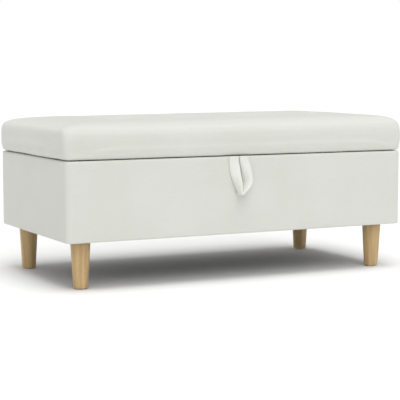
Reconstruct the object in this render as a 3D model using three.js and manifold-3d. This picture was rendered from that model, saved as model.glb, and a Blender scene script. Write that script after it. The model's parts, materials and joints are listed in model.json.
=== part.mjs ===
// Storage bench: an upholstered box on four turned legs, with a padded hinged lid.
//
// Millimetres, +Z up, +X along the length, the front faces -Y. Every shape is drawn about the
// middle of the box, on the floor. The whole bench then stands back by FOOTPRINT_SHIFT, which
// puts the origin under the middle of its footprint, pull loop and hinges included.
// The lid turns about HINGE, and two gas struts hold it up.

import * as THREE from 'three';
import { mergeVertices } from 'three/addons/utils/BufferGeometryUtils.js';
import Module from 'manifold-3d';

// ---------------------------------------------------------------- driving dimensions

const HALF_LENGTH = 502; // box, outside its upholstery
const HALF_DEPTH = 254;
const BOX_BOTTOM = 124; // also the height of the legs
const BOX_TOP = 330;
const LID_BOTTOM = 331.5; // a thin seam is left between box and lid
const LID_TOP = 434; // crown of the seat
const GAP = 0.3; // between pieces that touch

const PAD = 6; // fabric on thin foam, outside the panels
const BOX_CORNER = 16; // radius of the upright edges
const WRAP = 3; // folded fabric over the rim and under the bottom edge
const BOARD = 15; // thickness of the panels
const LINING = 1;
const BOTTOM_BOARD = 12;
const BLOCK = { side: 80, height: 29.4 };
const BATTEN = 18;

const LEG = { inset: 58, topRadius: 26, footRadius: 19, boltDepth: 28 };
const GLIDE = { radius: 12, height: 2.5, nailRadius: 1.5, nailLength: 11 };
const BOLT_RADIUS = 4;
const INSERT = { radius: 6.4, length: 22 };

const COVER = 3; // lid fabric on its thin wadding
const FLANGE = 45; // how far the cover folds in under the lid
const FOAM_INSET = COVER + 0.4; // from the cover's outside to the foam
const CROWN_DROP = 0.6; // the tufts are measured from a little below the crown
const LID_BOARD = { inset: 6, corner: 14 };
const LID_LINING = { inset: 30, corner: 4 };
const BUTTON = { radius: 12.5, height: 6, depth: 10, x: [-300, -100, 100, 300], y: [-85, 85] };
const TWINE_RADIUS = 1.2;

const HINGE = { y: 259, z: (BOX_TOP + LID_BOTTOM) / 2, x: 330, length: 60, leafStart: 232 };
const LEAF = 1.8;
const BARREL_RADIUS = 4;
const PIN_RADIUS = 2;

const STRUT = { x: 464, arm: 150, lidAngle: 5, boxAngle: 75.7, opening: 80 };
const CYLINDER = { radius: 7.5, bore: 6.2, gland: 3.6, start: 12, end: 146 };
const ROD = { radius: 3, piston: 5.5 };
const EYE = { radius: 8, bore: 4.4, width: 10 };
const STUD = { radius: 4, headRadius: 6 };

const FOOTPRINT_SHIFT = 10.5;
const LOOP = { x: -18, strapWidth: 28, strap: 4, top: 330.6, bottom: 228, turnRadius: 5 };

// ---------------------------------------------------------------- derived sizes

const PANEL_INSET = PAD + GAP;
const INNER_INSET = PANEL_INSET + BOARD + GAP; // inside faces of the panels
const PANEL_BOTTOM = BOX_BOTTOM + WRAP + GAP;
const PANEL_TOP = BOX_TOP - WRAP - GAP;
const BLOCK_BOTTOM = BOX_BOTTOM + GAP;
const FLOOR_BOTTOM = BLOCK_BOTTOM + BLOCK.height + GAP;
const FLOOR_TOP = FLOOR_BOTTOM + BOTTOM_BOARD;
const LEG_TOP = BOX_BOTTOM - 1.4; // the dust cover is clamped in between
const LID_BOARD_BOTTOM = LID_BOTTOM + COVER + GAP;
const LID_BOARD_TOP = LID_BOARD_BOTTOM + BOARD;

// ---------------------------------------------------------------- shape helpers

const wasm = await Module();
wasm.setup();

/** Turns a geometry into one indexed mesh whose faces point out. */
function outward(geometry) {
  const bare = geometry.clone();
  for (const name of Object.keys(bare.attributes)) {
    if (name !== 'position') bare.deleteAttribute(name);
  }
  const merged = mergeVertices(bare, 1e-4);
  const { position } = merged.attributes;
  const index = [];
  let volume = 0;
  const corner = [0, 1, 2].map(() => new THREE.Vector3());
  for (let i = 0; i < merged.index.count; i += 3) {
    const ids = [0, 1, 2].map((k) => merged.index.getX(i + k));
    if (new Set(ids).size < 3) continue;
    ids.forEach((id, k) => corner[k].fromBufferAttribute(position, id));
    volume += corner[0].dot(corner[1].clone().cross(corner[2]));
    index.push(...ids);
  }
  if (volume < 0) {
    for (let i = 0; i < index.length; i += 3) [index[i], index[i + 1]] = [index[i + 1], index[i]];
  }
  merged.setIndex(index);
  return merged;
}

function toSolid(geometry) {
  const closed = outward(geometry);
  return new wasm.Manifold(new wasm.Mesh({
    numProp: 3,
    vertProperties: new Float32Array(closed.attributes.position.array),
    triVerts: new Uint32Array(closed.index.array),
  }));
}

function fromSolid(solid) {
  const { vertProperties, triVerts } = solid.getMesh();
  const geometry = new THREE.BufferGeometry();
  geometry.setAttribute('position', new THREE.BufferAttribute(new Float32Array(vertProperties), 3));
  geometry.setIndex([...triVerts]);
  return geometry;
}

function join(...geometries) {
  return fromSolid(geometries.map(toSolid).reduce((whole, piece) => whole.add(piece)));
}

function cut(geometry, ...tools) {
  return fromSolid(tools.map(toSolid).reduce((rest, tool) => rest.subtract(tool), toSolid(geometry)));
}

/** A block between two corners. */
function block([x0, y0, z0], [x1, y1, z1]) {
  const geometry = new THREE.BoxGeometry(x1 - x0, y1 - y0, z1 - z0);
  return geometry.translate((x0 + x1) / 2, (y0 + y1) / 2, (z0 + z1) / 2);
}

/** A turned solid about Z through (x, y), from a profile of [radius, z] points. */
function turned(profile, x = 0, y = 0, sides = 12) {
  const points = profile.map(([radius, z]) => new THREE.Vector2(radius, z));
  return new THREE.LatheGeometry(points, sides).rotateX(Math.PI / 2).translate(x, y, 0);
}

/** A turned solid about X through (y, z), from a profile of [radius, x] points. */
function turnedAlongX(profile, y, z, sides = 12) {
  const points = profile.map(([radius, x]) => new THREE.Vector2(radius, x));
  return new THREE.LatheGeometry(points, sides).rotateZ(-Math.PI / 2).translate(0, y, z);
}

function rod(radius, z0, z1, x, y, sides = 12) {
  return turned([[0, z0], [radius, z0], [radius, z1], [0, z1]], x, y, sides);
}

/** A rectangle with rounded corners, anticlockwise, always with the same number of points. */
function roundedRectangle(halfX, halfY, radius, steps = 4) {
  const points = [];
  const signs = [[1, 1], [-1, 1], [-1, -1], [1, -1]];
  signs.forEach(([sx, sy], quarter) => {
    for (let i = 0; i <= steps; i += 1) {
      const angle = (quarter + i / steps) * (Math.PI / 2);
      const x = sx * (halfX - radius) + radius * Math.cos(angle);
      const y = sy * (halfY - radius) + radius * Math.sin(angle);
      points.push([x, y]);
    }
  });
  return points;
}

/** Skins rings of [x, y, z] points into a body: closed on itself, or capped at both ends. */
function skin(rings, closed = false) {
  const count = rings[0].length;
  const vertices = rings.flat();
  const index = [];
  const joins = closed ? rings.length : rings.length - 1;
  for (let i = 0; i < joins; i += 1) {
    const here = i * count;
    const next = ((i + 1) % rings.length) * count;
    for (let j = 0; j < count; j += 1) {
      const k = (j + 1) % count;
      index.push(here + j, here + k, next + k, here + j, next + k, next + j);
    }
  }
  if (!closed) {
    const last = (rings.length - 1) * count;
    for (let j = 1; j < count - 1; j += 1) {
      index.push(0, j + 1, j, last, last + j, last + j + 1);
    }
  }
  const geometry = new THREE.BufferGeometry();
  geometry.setAttribute('position', new THREE.Float32BufferAttribute(vertices.flat(), 3));
  geometry.setIndex(index);
  return geometry;
}

/** One level ring of the box's outline, drawn in by insetX and insetY. */
function level(insetX, insetY, z, radius) {
  return roundedRectangle(HALF_LENGTH - insetX, HALF_DEPTH - insetY, radius).map(([x, y]) => [x, y, z]);
}

const group = new THREE.Group();
group.position.y = FOOTPRINT_SHIFT;

function add(name, geometry, material) {
  const mesh = new THREE.Mesh(outward(geometry), material);
  mesh.name = name;
  group.add(mesh);
}

// ---------------------------------------------------------------- materials

function finish(color, roughness, metalness = 0) {
  return new THREE.MeshStandardMaterial({ color, roughness, metalness });
}

const creamFabric = finish('#e2e4dd', 0.8);
const beech = finish('#c59c73', 0.5);
const plywood = finish('#cbb28a', 0.7);
const softwood = finish('#c9ab7c', 0.75);
const foam = finish('#e9e2c4', 0.95);
const blackLining = finish('#2b2b2c', 0.95);
const zincSteel = finish('#b9bcc0', 0.35, 1);
const blackSteel = finish('#1f2022', 0.4, 0.6);
const chromeRod = finish('#d5d8dc', 0.12, 1);
const nylon = finish('#e6e4dc', 0.5);

// ---------------------------------------------------------------- box

const CORNERS = { front_left: [-1, -1], front_right: [1, -1], back_left: [-1, 1], back_right: [1, 1] };
const SIDES = { left: -1, right: 1 };

function legCentre([sx, sy]) {
  return [sx * (HALF_LENGTH - LEG.inset), sy * (HALF_DEPTH - LEG.inset)];
}

function addPanels() {
  const outX = HALF_LENGTH - PANEL_INSET;
  const outY = HALF_DEPTH - PANEL_INSET;
  const inY = outY - BOARD;
  for (const [name, side] of Object.entries({ front: -1, back: 1 })) {
    const [y0, y1] = [side * outY, side * inY].sort((a, b) => a - b);
    add(`${name}_panel`, block([-outX, y0, PANEL_BOTTOM], [outX, y1, PANEL_TOP]), plywood);
  }
  for (const [name, side] of Object.entries(SIDES)) {
    const [x0, x1] = [side * outX, side * (outX - BOARD)].sort((a, b) => a - b);
    const end = inY - GAP;
    add(`${name}_panel`, block([x0, -end, PANEL_BOTTOM], [x1, end, PANEL_TOP]), plywood);
  }
  const halfX = HALF_LENGTH - INNER_INSET;
  const halfY = HALF_DEPTH - INNER_INSET;
  add('bottom_panel', block([-halfX, -halfY, FLOOR_BOTTOM], [halfX, halfY, FLOOR_TOP]), plywood);
}

/** Strips between the leg blocks, which carry the bottom panel. */
function addBattens() {
  const outX = HALF_LENGTH - INNER_INSET;
  const outY = HALF_DEPTH - INNER_INSET;
  const endX = outX - BLOCK.side - GAP;
  const endY = outY - BLOCK.side - GAP;
  const top = BLOCK_BOTTOM + BLOCK.height;
  for (const [name, side] of Object.entries({ front: -1, back: 1 })) {
    const [y0, y1] = [side * outY, side * (outY - BATTEN)].sort((a, b) => a - b);
    add(`${name}_batten`, block([-endX, y0, BLOCK_BOTTOM], [endX, y1, top]), softwood);
  }
  for (const [name, side] of Object.entries(SIDES)) {
    const [x0, x1] = [side * outX, side * (outX - BATTEN)].sort((a, b) => a - b);
    add(`${name}_batten`, block([x0, -endY, BLOCK_BOTTOM], [x1, endY, top]), softwood);
  }
}

/** The padded fabric round the box: folded over the rim, and in under the bottom edge. */
function addBoxUpholstery() {
  const round = BOX_CORNER;
  const sharp = 0.4;
  const bottom = BOX_BOTTOM;
  const rimEnd = INNER_INSET + 2;
  const profile = [
    [INNER_INSET - 1, bottom, sharp], [4, bottom, round - 4], [1.2, bottom + 1.2, round - 1.2],
    [0, bottom + 4, round], [0, BOX_TOP - 4, round], [1.2, BOX_TOP - 1.2, round - 1.2],
    [4, BOX_TOP, round - 4], [rimEnd, BOX_TOP, sharp], [rimEnd, BOX_TOP - 32, sharp],
    [INNER_INSET, BOX_TOP - 32, sharp], [INNER_INSET, BOX_TOP - WRAP, sharp],
    [PAD, BOX_TOP - WRAP, sharp], [PAD, bottom + WRAP, sharp],
    [INNER_INSET - 1, bottom + WRAP, sharp],
  ];
  const sleeve = skin(profile.map(([inset, z, radius]) => level(inset, inset, z, radius)), true);
  add('box_upholstery', cut(sleeve, ...leafPockets()), creamFabric);
}

/** The thin fabric tub inside the box. */
function addBoxLining() {
  const outer = INNER_INSET;
  const inner = INNER_INSET + LINING;
  const top = BOX_TOP - 32 - GAP;
  const floor = FLOOR_TOP + GAP;
  const rings = [
    level(inner, inner, floor + LINING, 1), level(inner, inner, top, 1),
    level(outer, outer, top, 1), level(outer, outer, floor, 1),
  ];
  add('box_lining', skin(rings), blackLining);
}

function addDustCover() {
  const z0 = BOX_BOTTOM - 1.1;
  const sheet = skin([level(12, 12, z0, 8), level(12, 12, z0 + 0.8, 8)]);
  const holes = Object.values(CORNERS).map((corner) => {
    const [x, y] = legCentre(corner);
    return rod(BOLT_RADIUS + 0.5, z0 - 1, z0 + 2, x, y);
  });
  add('dust_cover', cut(sheet, ...holes), blackLining);
}

// ---------------------------------------------------------------- legs

function addLegs() {
  const foot = GLIDE.height + GAP;
  const { topRadius, footRadius, boltDepth } = LEG;
  const nailHole = GLIDE.nailRadius + 0.4;
  const boltHole = BOLT_RADIUS + 0.3;
  const insertHole = INSERT.radius + 0.4;
  const boltBottom = LEG_TOP - boltDepth;
  const boltTop = BLOCK_BOTTOM + INSERT.length;
  const nailTop = GLIDE.height + GLIDE.nailLength;
  for (const [name, corner] of Object.entries(CORNERS)) {
    const [x, y] = legCentre(corner);
    add(`leg_${name}`, turned([
      [0, nailTop + 1], [nailHole, nailTop + 1], [nailHole, foot], [footRadius - 2.5, foot],
      [footRadius - 0.7, foot + 0.8], [footRadius, foot + 2.8], [topRadius, LEG_TOP - 1],
      [topRadius - 1, LEG_TOP], [boltHole, LEG_TOP], [boltHole, boltBottom - 1], [0, boltBottom - 1],
    ], x, y, 16), beech);
    add(`leg_bolt_${name}`, rod(BOLT_RADIUS, boltBottom, boltTop, x, y), zincSteel);
    add(`leg_insert_${name}`, turned([
      [boltHole, BLOCK_BOTTOM], [INSERT.radius, BLOCK_BOTTOM], [INSERT.radius, boltTop],
      [boltHole, boltTop], [boltHole, BLOCK_BOTTOM],
    ], x, y, 12), zincSteel);
    add(`leg_glide_${name}`, turned([
      [0, 0], [GLIDE.radius - 1, 0], [GLIDE.radius, 1], [GLIDE.radius, GLIDE.height],
      [GLIDE.nailRadius, GLIDE.height], [GLIDE.nailRadius, nailTop], [0, nailTop],
    ], x, y, 12), nylon);

    const outX = corner[0] * (HALF_LENGTH - INNER_INSET);
    const outY = corner[1] * (HALF_DEPTH - INNER_INSET);
    const [x0, x1] = [outX, outX - corner[0] * BLOCK.side].sort((a, b) => a - b);
    const [y0, y1] = [outY, outY - corner[1] * BLOCK.side].sort((a, b) => a - b);
    const wood = block([x0, y0, BLOCK_BOTTOM], [x1, y1, BLOCK_BOTTOM + BLOCK.height]);
    const hole = rod(insertHole, BLOCK_BOTTOM - 1, BLOCK_BOTTOM + BLOCK.height + 1, x, y);
    add(`leg_block_${name}`, cut(wood, hole), softwood);
  }
}

// ---------------------------------------------------------------- lid

// Half-section of the seat: height, how far it stands out past the box at the ends and at the
// front and back, and the corner radius there.
const SEAT = [
  [LID_BOTTOM, -5, -5, 12], [LID_BOTTOM + 1.5, -1.5, -1.5, 16], [LID_BOTTOM + 5, 0.5, 0, 18],
  [348, 5, 2.2, 22], [362, 8.5, 4.4, 25], [380, 9.5, 5.5, 27], [395, 9.2, 4.6, 29],
  [404, 7.8, 2.4, 30], [411, 4, -1.5, 31], [416, -2, -7.5, 31], [419.5, -10, -15, 30],
  [422, -22, -25, 29], [425, -46, -45, 28], [428.5, -90, -85, 25], [431.5, -150, -140, 22],
  [433.4, -215, -195, 18], [LID_TOP, -250, -225, 14],
];

/** The seat's outer form from a height up, shrunk by a thickness. */
function seatRings(from, shrink) {
  const above = SEAT.filter(([z]) => z - shrink > from);
  const start = SEAT[SEAT.length - above.length - 1];
  const rings = [[from, ...start.slice(1)], ...above.map(([z, ...rest]) => [z - shrink, ...rest])];
  return rings.map(([z, outX, outY, radius]) => {
    const innerRadius = Math.max(radius - shrink, 4);
    return level(shrink - outX, shrink - outY, z, innerRadius);
  });
}

/** The dish of a tuft at a button, lowered and widened by a thickness. */
function dish(x, y, thickness) {
  const z = LID_TOP - CROWN_DROP - thickness;
  const { radius, depth } = BUTTON;
  const profile = [
    [0, -depth], [radius + 1, -depth], [22, -6], [33, -1.6], [40, 1.4],
  ].map(([r, height]) => [r && r + thickness, z + height]);
  return turned([...profile, [0, z + 1.4]], x, y, 8);
}

const TUFTS = BUTTON.x.flatMap((x) => BUTTON.y.map((y) => [x, y]));

function addLid() {
  const twineHoles = TUFTS.map(([x, y]) => rod(TWINE_RADIUS + 0.8, LID_BOTTOM, LID_TOP, x, y, 6));

  const boardLevel = (z) => level(LID_BOARD.inset, LID_BOARD.inset, z, LID_BOARD.corner);
  const board = skin([boardLevel(LID_BOARD_BOTTOM), boardLevel(LID_BOARD_TOP)]);
  add('lid_board', cut(board, ...twineHoles), plywood);

  const cushion = skin(seatRings(LID_BOARD_TOP + GAP, FOAM_INSET));
  const pits = TUFTS.map(([x, y]) => dish(x, y, FOAM_INSET));
  add('lid_foam', cut(cushion, ...pits, ...twineHoles), foam);

  const inside = seatRings(LID_BOTTOM + COVER, COVER).reverse();
  const flange = [level(FLANGE, FLANGE, LID_BOTTOM + COVER, 4), level(FLANGE, FLANGE, LID_BOTTOM, 4)];
  const outside = SEAT.map(([z, outX, outY, radius]) => level(-outX, -outY, z, radius));
  const shell = skin([...inside, ...flange, ...outside]);
  const cups = TUFTS.map(([x, y]) => dish(x, y, COVER));
  const dishes = TUFTS.map(([x, y]) => dish(x, y, 0));
  add('lid_cover', cut(join(shell, ...cups), ...dishes, ...twineHoles, ...leafPockets()), creamFabric);

  const liningLevel = (z) => level(LID_LINING.inset, LID_LINING.inset, z, LID_LINING.corner);
  const liningBottom = BOX_TOP + 0.1;
  add('lid_lining', skin([liningLevel(liningBottom), liningLevel(liningBottom + LINING)]), blackLining);

  TUFTS.forEach(([x, y], i) => add(`lid_button_${i + 1}`, button(x, y), creamFabric));
}

/** A covered button with its tie: twine down through the foam and board to an anchor washer. */
function button(x, y) {
  const { radius, height, depth } = BUTTON;
  const seat = LID_TOP - CROWN_DROP - depth + GAP;
  const washerTop = LID_BOARD_BOTTOM - GAP;
  const washerBottom = washerTop - 1.8;
  return turned([
    [0, washerBottom], [7, washerBottom], [7, washerTop], [TWINE_RADIUS, washerTop],
    [TWINE_RADIUS, seat], [radius - 1.5, seat], [radius, seat + 1.5], [radius - 0.8, seat + 3.4],
    [radius * 0.65, seat + height - 0.9], [0, seat + height],
  ], x, y, 8);
}

// ---------------------------------------------------------------- hinges

const BOX_LEAF_TOP = HINGE.z - 0.35;
const LID_LEAF_BOTTOM = HINGE.z + 0.35;

/** Shallow recesses for the leaves, in the rim and in the underside of the lid. */
function leafPockets() {
  return Object.values(SIDES).map((side) => {
    const half = HINGE.length / 2 + GAP;
    const x = side * HINGE.x;
    const low = [x - half, HINGE.leafStart - GAP, BOX_LEAF_TOP - LEAF - GAP];
    return block(low, [x + half, HINGE.y, LID_LEAF_BOTTOM + LEAF + GAP]);
  });
}

/** One leaf: a flat plate whose ends roll up into knuckles round the pin. */
function leaf(x, z0, knuckles) {
  const half = HINGE.length / 2;
  const plateEnd = HINGE.y - BARREL_RADIUS - 0.4;
  const plate = block([x - half, HINGE.leafStart, z0], [x + half, plateEnd, z0 + LEAF]);
  const pieces = [plate];
  for (const [from, to] of knuckles) {
    pieces.push(block([x + from, plateEnd - 1, z0], [x + to, HINGE.y, z0 + LEAF]));
    const barrel = [[0, x + from], [BARREL_RADIUS, x + from], [BARREL_RADIUS, x + to], [0, x + to]];
    pieces.push(turnedAlongX(barrel, HINGE.y, HINGE.z));
  }
  const reach = half + 5;
  const bore = PIN_RADIUS + 0.35;
  const hole = [[0, x - reach], [bore, x - reach], [bore, x + reach], [0, x + reach]];
  return cut(join(...pieces), turnedAlongX(hole, HINGE.y, HINGE.z));
}

function addHinges() {
  const half = HINGE.length / 2;
  for (const [name, side] of Object.entries(SIDES)) {
    const x = side * HINGE.x;
    const outerKnuckles = [[-half, -10.2], [10.2, half]];
    add(`hinge_box_leaf_${name}`, leaf(x, BOX_LEAF_TOP - LEAF, outerKnuckles), zincSteel);
    add(`hinge_lid_leaf_${name}`, leaf(x, LID_LEAF_BOTTOM, [[-9.8, 9.8]]), zincSteel);
    const end = half + GAP;
    add(`hinge_pin_${name}`, turnedAlongX([
      [0, x - end - 1.5], [3.4, x - end - 1.5], [3.4, x - end], [PIN_RADIUS, x - end],
      [PIN_RADIUS, x + end], [3.4, x + end], [3.4, x + end + 1.5], [0, x + end + 1.5],
    ], HINGE.y, HINGE.z), zincSteel);
  }
}

// ---------------------------------------------------------------- gas struts

/** A point at the strut arm's radius from the hinge, at an angle down from the lid's plane. */
function armEnd(degrees) {
  const angle = THREE.MathUtils.degToRad(degrees);
  return { y: HINGE.y - STRUT.arm * Math.cos(angle), z: HINGE.z - STRUT.arm * Math.sin(angle) };
}

function pivotDistance(degrees) {
  return 2 * STRUT.arm * Math.sin(THREE.MathUtils.degToRad(degrees / 2));
}

const LID_PIVOT = armEnd(STRUT.lidAngle);
const BOX_PIVOT = armEnd(STRUT.boxAngle);
const CLOSED_LENGTH = pivotDistance(STRUT.boxAngle - STRUT.lidAngle);
const OPEN_LENGTH = pivotDistance(STRUT.boxAngle - STRUT.lidAngle + STRUT.opening);

/** Stands a geometry drawn up +Z from its pivot at one pivot, pointing to the other. */
function aim(geometry, x, from, to) {
  const tilt = Math.atan2(-(to.y - from.y), to.z - from.z);
  return geometry.rotateX(tilt).translate(x, from.y, from.z);
}

/** The eye at a strut's end, with a neck up to the rest of it. */
function eye(neckRadius, neckTop) {
  const half = EYE.width / 2;
  const ring = turnedAlongX([[0, -half], [EYE.radius, -half], [EYE.radius, half], [0, half]], 0, 0);
  return [ring, rod(neckRadius, 0, neckTop, 0, 0)];
}

function eyeHole() {
  return turnedAlongX([[0, -20], [EYE.bore, -20], [EYE.bore, 20], [0, 20]], 0, 0);
}

function cylinder() {
  const { radius, bore, gland, start, end } = CYLINDER;
  const tube = rod(radius, start, end, 0, 0);
  const inside = turned([
    [0, start + 4], [bore, start + 4], [bore, end - 5], [gland, end - 5], [gland, end + 1], [0, end + 1],
  ]);
  return cut(join(...eye(4.5, start + 2), tube), eyeHole(), inside);
}

function pistonRod() {
  const glandFace = OPEN_LENGTH - (CYLINDER.end - 5);
  const piston = glandFace + 1.8;
  const stem = turned([
    [0, 5], [ROD.radius, 5], [ROD.radius, piston], [ROD.piston, piston],
    [ROD.piston, piston + 5.5], [0, piston + 5.5],
  ], 0, 0, 12);
  return cut(join(...eye(4.5, EYE.radius + 4), stem), eyeHole());
}

/** A stud with a head, reaching inwards from a bracket's plate. */
function stud(side, from, pivot) {
  const headFace = STRUT.x - EYE.width / 2 - 0.4;
  const profile = [
    [0, headFace - 2.4], [STUD.headRadius, headFace - 2.4], [STUD.headRadius, headFace],
    [STUD.radius, headFace], [STUD.radius, from], [0, from],
  ].map(([radius, x]) => [radius, side * x]);
  return turnedAlongX(profile, pivot.y, pivot.z, 12);
}

/** A block that is mirrored for the left side. */
function sideBlock(side, [x0, y0, z0], [x1, y1, z1]) {
  const [low, high] = [side * x0, side * x1].sort((a, b) => a - b);
  return block([low, y0, z0], [high, y1, z1]);
}

function addStruts() {
  const wall = HALF_LENGTH - INNER_INSET - LINING - GAP;
  const plateTop = BOX_TOP - GAP;
  const ear = STRUT.x + 12;
  const { y: lidY, z: lidZ } = LID_PIVOT;
  const { y: boxY, z: boxZ } = BOX_PIVOT;
  for (const [name, side] of Object.entries(SIDES)) {
    const x = side * STRUT.x;
    add(`strut_box_bracket_${name}`, join(
      sideBlock(side, [wall - 2, boxY - 20, boxZ - 16], [wall, boxY + 8, boxZ + 16]),
      stud(side, wall - 1, BOX_PIVOT),
    ), zincSteel);
    add(`strut_lid_bracket_${name}`, join(
      sideBlock(side, [STRUT.x - 22, lidY - 22, plateTop - 2], [ear, lidY + 22, plateTop]),
      sideBlock(side, [ear - 2, lidY - 9, lidZ - 9], [ear, lidY + 9, plateTop]),
      stud(side, ear - 1, LID_PIVOT),
    ), zincSteel);
    add(`strut_cylinder_${name}`, aim(cylinder(), x, LID_PIVOT, BOX_PIVOT), blackSteel);
    add(`strut_rod_${name}`, aim(pistonRod(), x, BOX_PIVOT, LID_PIVOT), chromeRod);
  }
}

// ---------------------------------------------------------------- pull loop

// Strands of the loop from the seam down to its turn: share of the way, where the rear edge is, and
// how many degrees the strap is twisted out of the front's plane.
const LEFT_STRAND = [
  [0, -29.5, 0], [0.15, -29.5, 3], [0.5, -26.3, 28], [0.76, -16.5, 60], [0.93, -8, 82], [1, -5, 90],
];
const RIGHT_STRAND = [
  [0, 1.5, 0], [0.15, 2.2, 3], [0.5, 8.5, 27], [0.76, 11.5, 48], [0.93, 8, 76], [1, 5, 90],
];

/** Rear edge and twist of a strand at a share of its way down. */
function strandAt(strand, share) {
  const end = Math.max(1, strand.findIndex(([at]) => at >= share));
  const [[from, x0, twist0], [to, x1, twist1]] = [strand[end - 1], strand[end]];
  const part = (share - from) / (to - from);
  const { lerp, degToRad } = THREE.MathUtils;
  return { rear: lerp(x0, x1, part), twist: degToRad(lerp(twist0, twist1, part)) };
}

/** The pull loop: a strap that hangs from the seam, twists, turns at the bottom and comes back. */
function pullLoop() {
  const { strap, top, bottom, turnRadius } = LOOP;
  const turnCentre = bottom + strap / 2 + turnRadius;
  const straightSteps = 12;
  const turnSteps = 8;
  const station = (strand, step, down) => {
    const share = step / straightSteps;
    return { ...strandAt(strand, share), z: THREE.MathUtils.lerp(top, turnCentre, share), down };
  };
  const steps = Array.from({ length: straightSteps + 1 }, (_, i) => i);
  const stations = steps.map((step) => station(LEFT_STRAND, step, 0));
  for (let i = 1; i < turnSteps; i += 1) {
    const down = (i / turnSteps) * Math.PI;
    const rear = -turnRadius * Math.cos(down);
    stations.push({ rear, twist: Math.PI / 2, z: turnCentre - turnRadius * Math.sin(down), down });
  }
  stations.push(...steps.reverse().map((step) => station(RIGHT_STRAND, step, Math.PI)));
  return skin(stations.map(strapSection));
}

/** The strap's rectangular section at one station. */
function strapSection({ rear, twist, z, down }) {
  const { x, strapWidth: width, strap } = LOOP;
  const back = -(HALF_DEPTH + GAP + strap / 2);
  const across = new THREE.Vector3(Math.cos(twist), -Math.sin(twist), 0);
  const normal = new THREE.Vector3(-Math.sin(twist), -Math.cos(twist), 0).multiplyScalar(Math.cos(down));
  normal.z = -Math.sin(down);
  const edge = new THREE.Vector3(x + rear, back, z);
  const corners = [[0, -1], [1, -1], [1, 1], [0, 1]];
  return corners.map(([a, n]) => {
    const point = edge.clone().addScaledVector(across, a * width);
    return point.addScaledVector(normal, (n * strap) / 2).toArray();
  });
}

// ---------------------------------------------------------------- the bench

addPanels();
addBattens();
addBoxUpholstery();
addBoxLining();
addDustCover();
addLegs();
addLid();
addHinges();
addStruts();
add('pull_loop', pullLoop(), creamFabric);

export default group;
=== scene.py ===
"""Looks of a storage bench: an upholstered box on turned legs with a padded, hinged lid.

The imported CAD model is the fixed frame. Every sub-assembly is a class that holds its sizes in
millimetres, builds its meshes in the row frame and dresses them. Finishes are frozen dataclasses
that make their own node materials. Small repeated things, such as screws, staples, stitches and
buttons, are spread by Geometry Nodes.
"""

import json
import logging
import math
from dataclasses import dataclass, field
from enum import Enum
from functools import lru_cache
from typing import Any, Iterable, Sequence

import bmesh
import bpy
import numpy as np
from mathutils import Matrix, Vector, noise


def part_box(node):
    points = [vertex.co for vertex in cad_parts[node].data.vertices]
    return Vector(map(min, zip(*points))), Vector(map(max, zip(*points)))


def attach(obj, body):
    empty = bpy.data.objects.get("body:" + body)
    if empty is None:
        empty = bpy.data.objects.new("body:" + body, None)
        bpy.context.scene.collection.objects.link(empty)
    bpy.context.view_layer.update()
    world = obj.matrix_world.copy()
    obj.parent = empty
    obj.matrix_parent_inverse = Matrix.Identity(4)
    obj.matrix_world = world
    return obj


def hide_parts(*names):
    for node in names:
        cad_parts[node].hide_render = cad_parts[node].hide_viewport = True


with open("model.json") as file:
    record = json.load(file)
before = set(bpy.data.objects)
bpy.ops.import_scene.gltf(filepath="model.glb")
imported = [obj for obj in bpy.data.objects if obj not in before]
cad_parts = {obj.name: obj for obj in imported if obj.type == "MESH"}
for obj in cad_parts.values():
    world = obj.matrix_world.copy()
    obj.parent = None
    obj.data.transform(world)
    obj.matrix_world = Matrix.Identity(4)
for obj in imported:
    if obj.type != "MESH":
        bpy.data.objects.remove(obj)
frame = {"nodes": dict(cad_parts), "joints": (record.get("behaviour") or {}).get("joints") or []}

log = logging.getLogger("storage_bench")
MM = 0.001


class Body(str, Enum):
    """Moving bodies of the frame that hand-made pieces ride on."""

    BOX = "box"
    LID = "lid"
    LOOP = "pull_loop"


class Slot(str, Enum):
    """Material slots of the record."""

    FABRIC = "cream_fabric"
    BEECH = "beech"
    NONWOVEN = "black_nonwoven"
    ZINC = "zinc_steel"
    PAINTED = "black_steel"
    CHROME = "chrome_rod"
    NYLON = "nylon"


class Operation(str, Enum):
    """Ways to combine two solids."""

    JOIN = "UNION"
    CUT = "DIFFERENCE"


class Side(Enum):
    """Left and right half of the bench, with the sign of X there."""

    LEFT = -1
    RIGHT = 1

    @property
    def label(self) -> str:
        """Name ending of the side's nodes."""
        return self.name.lower()


# ------------------------------------------------------------------ small shared functions


def linear(hex_colour: str) -> tuple[float, float, float, float]:
    """Turns an sRGB hex colour into linear RGBA.

    Args:
        hex_colour: Colour such as "#E2E4DD".

    Returns:
        Red, green, blue and alpha, from 0 to 1.
    """
    values = [int(hex_colour[i : i + 2], 16) / 255 for i in (1, 3, 5)]
    parts = [v / 12.92 if v <= 0.04045 else ((v + 0.055) / 1.055) ** 2.4 for v in values]
    return (*parts, 1.0)


def add_node(tree: bpy.types.NodeTree, kind: str, inputs: dict | None = None, **settings: Any) -> Any:
    """Adds a node, sets its attributes, and sets or links its inputs.

    Args:
        tree: Node tree that gets the node.
        kind: Node type, such as "ShaderNodeMath".
        inputs: Input name or index to a value, or to an output socket to link.
        settings: Attributes of the node.

    Returns:
        The new node.
    """
    node = tree.nodes.new(kind)
    for key, value in settings.items():
        setattr(node, key, value)
    for key, value in (inputs or {}).items():
        if isinstance(value, bpy.types.NodeSocket):
            tree.links.new(value, node.inputs[key])
        else:
            node.inputs[key].default_value = value
    return node


def start_material(name: str) -> tuple[bpy.types.Material, Any, Any]:
    """Makes an empty node material with one Principled shader.

    Args:
        name: Name of the material.

    Returns:
        The material, its node tree and the shader node.
    """
    material = bpy.data.materials.new(name)
    material.use_nodes = True
    tree = material.node_tree
    tree.nodes.clear()
    shader = add_node(tree, "ShaderNodeBsdfPrincipled")
    add_node(tree, "ShaderNodeOutputMaterial", {"Surface": shader.outputs[0]})
    return material, tree, shader


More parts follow.
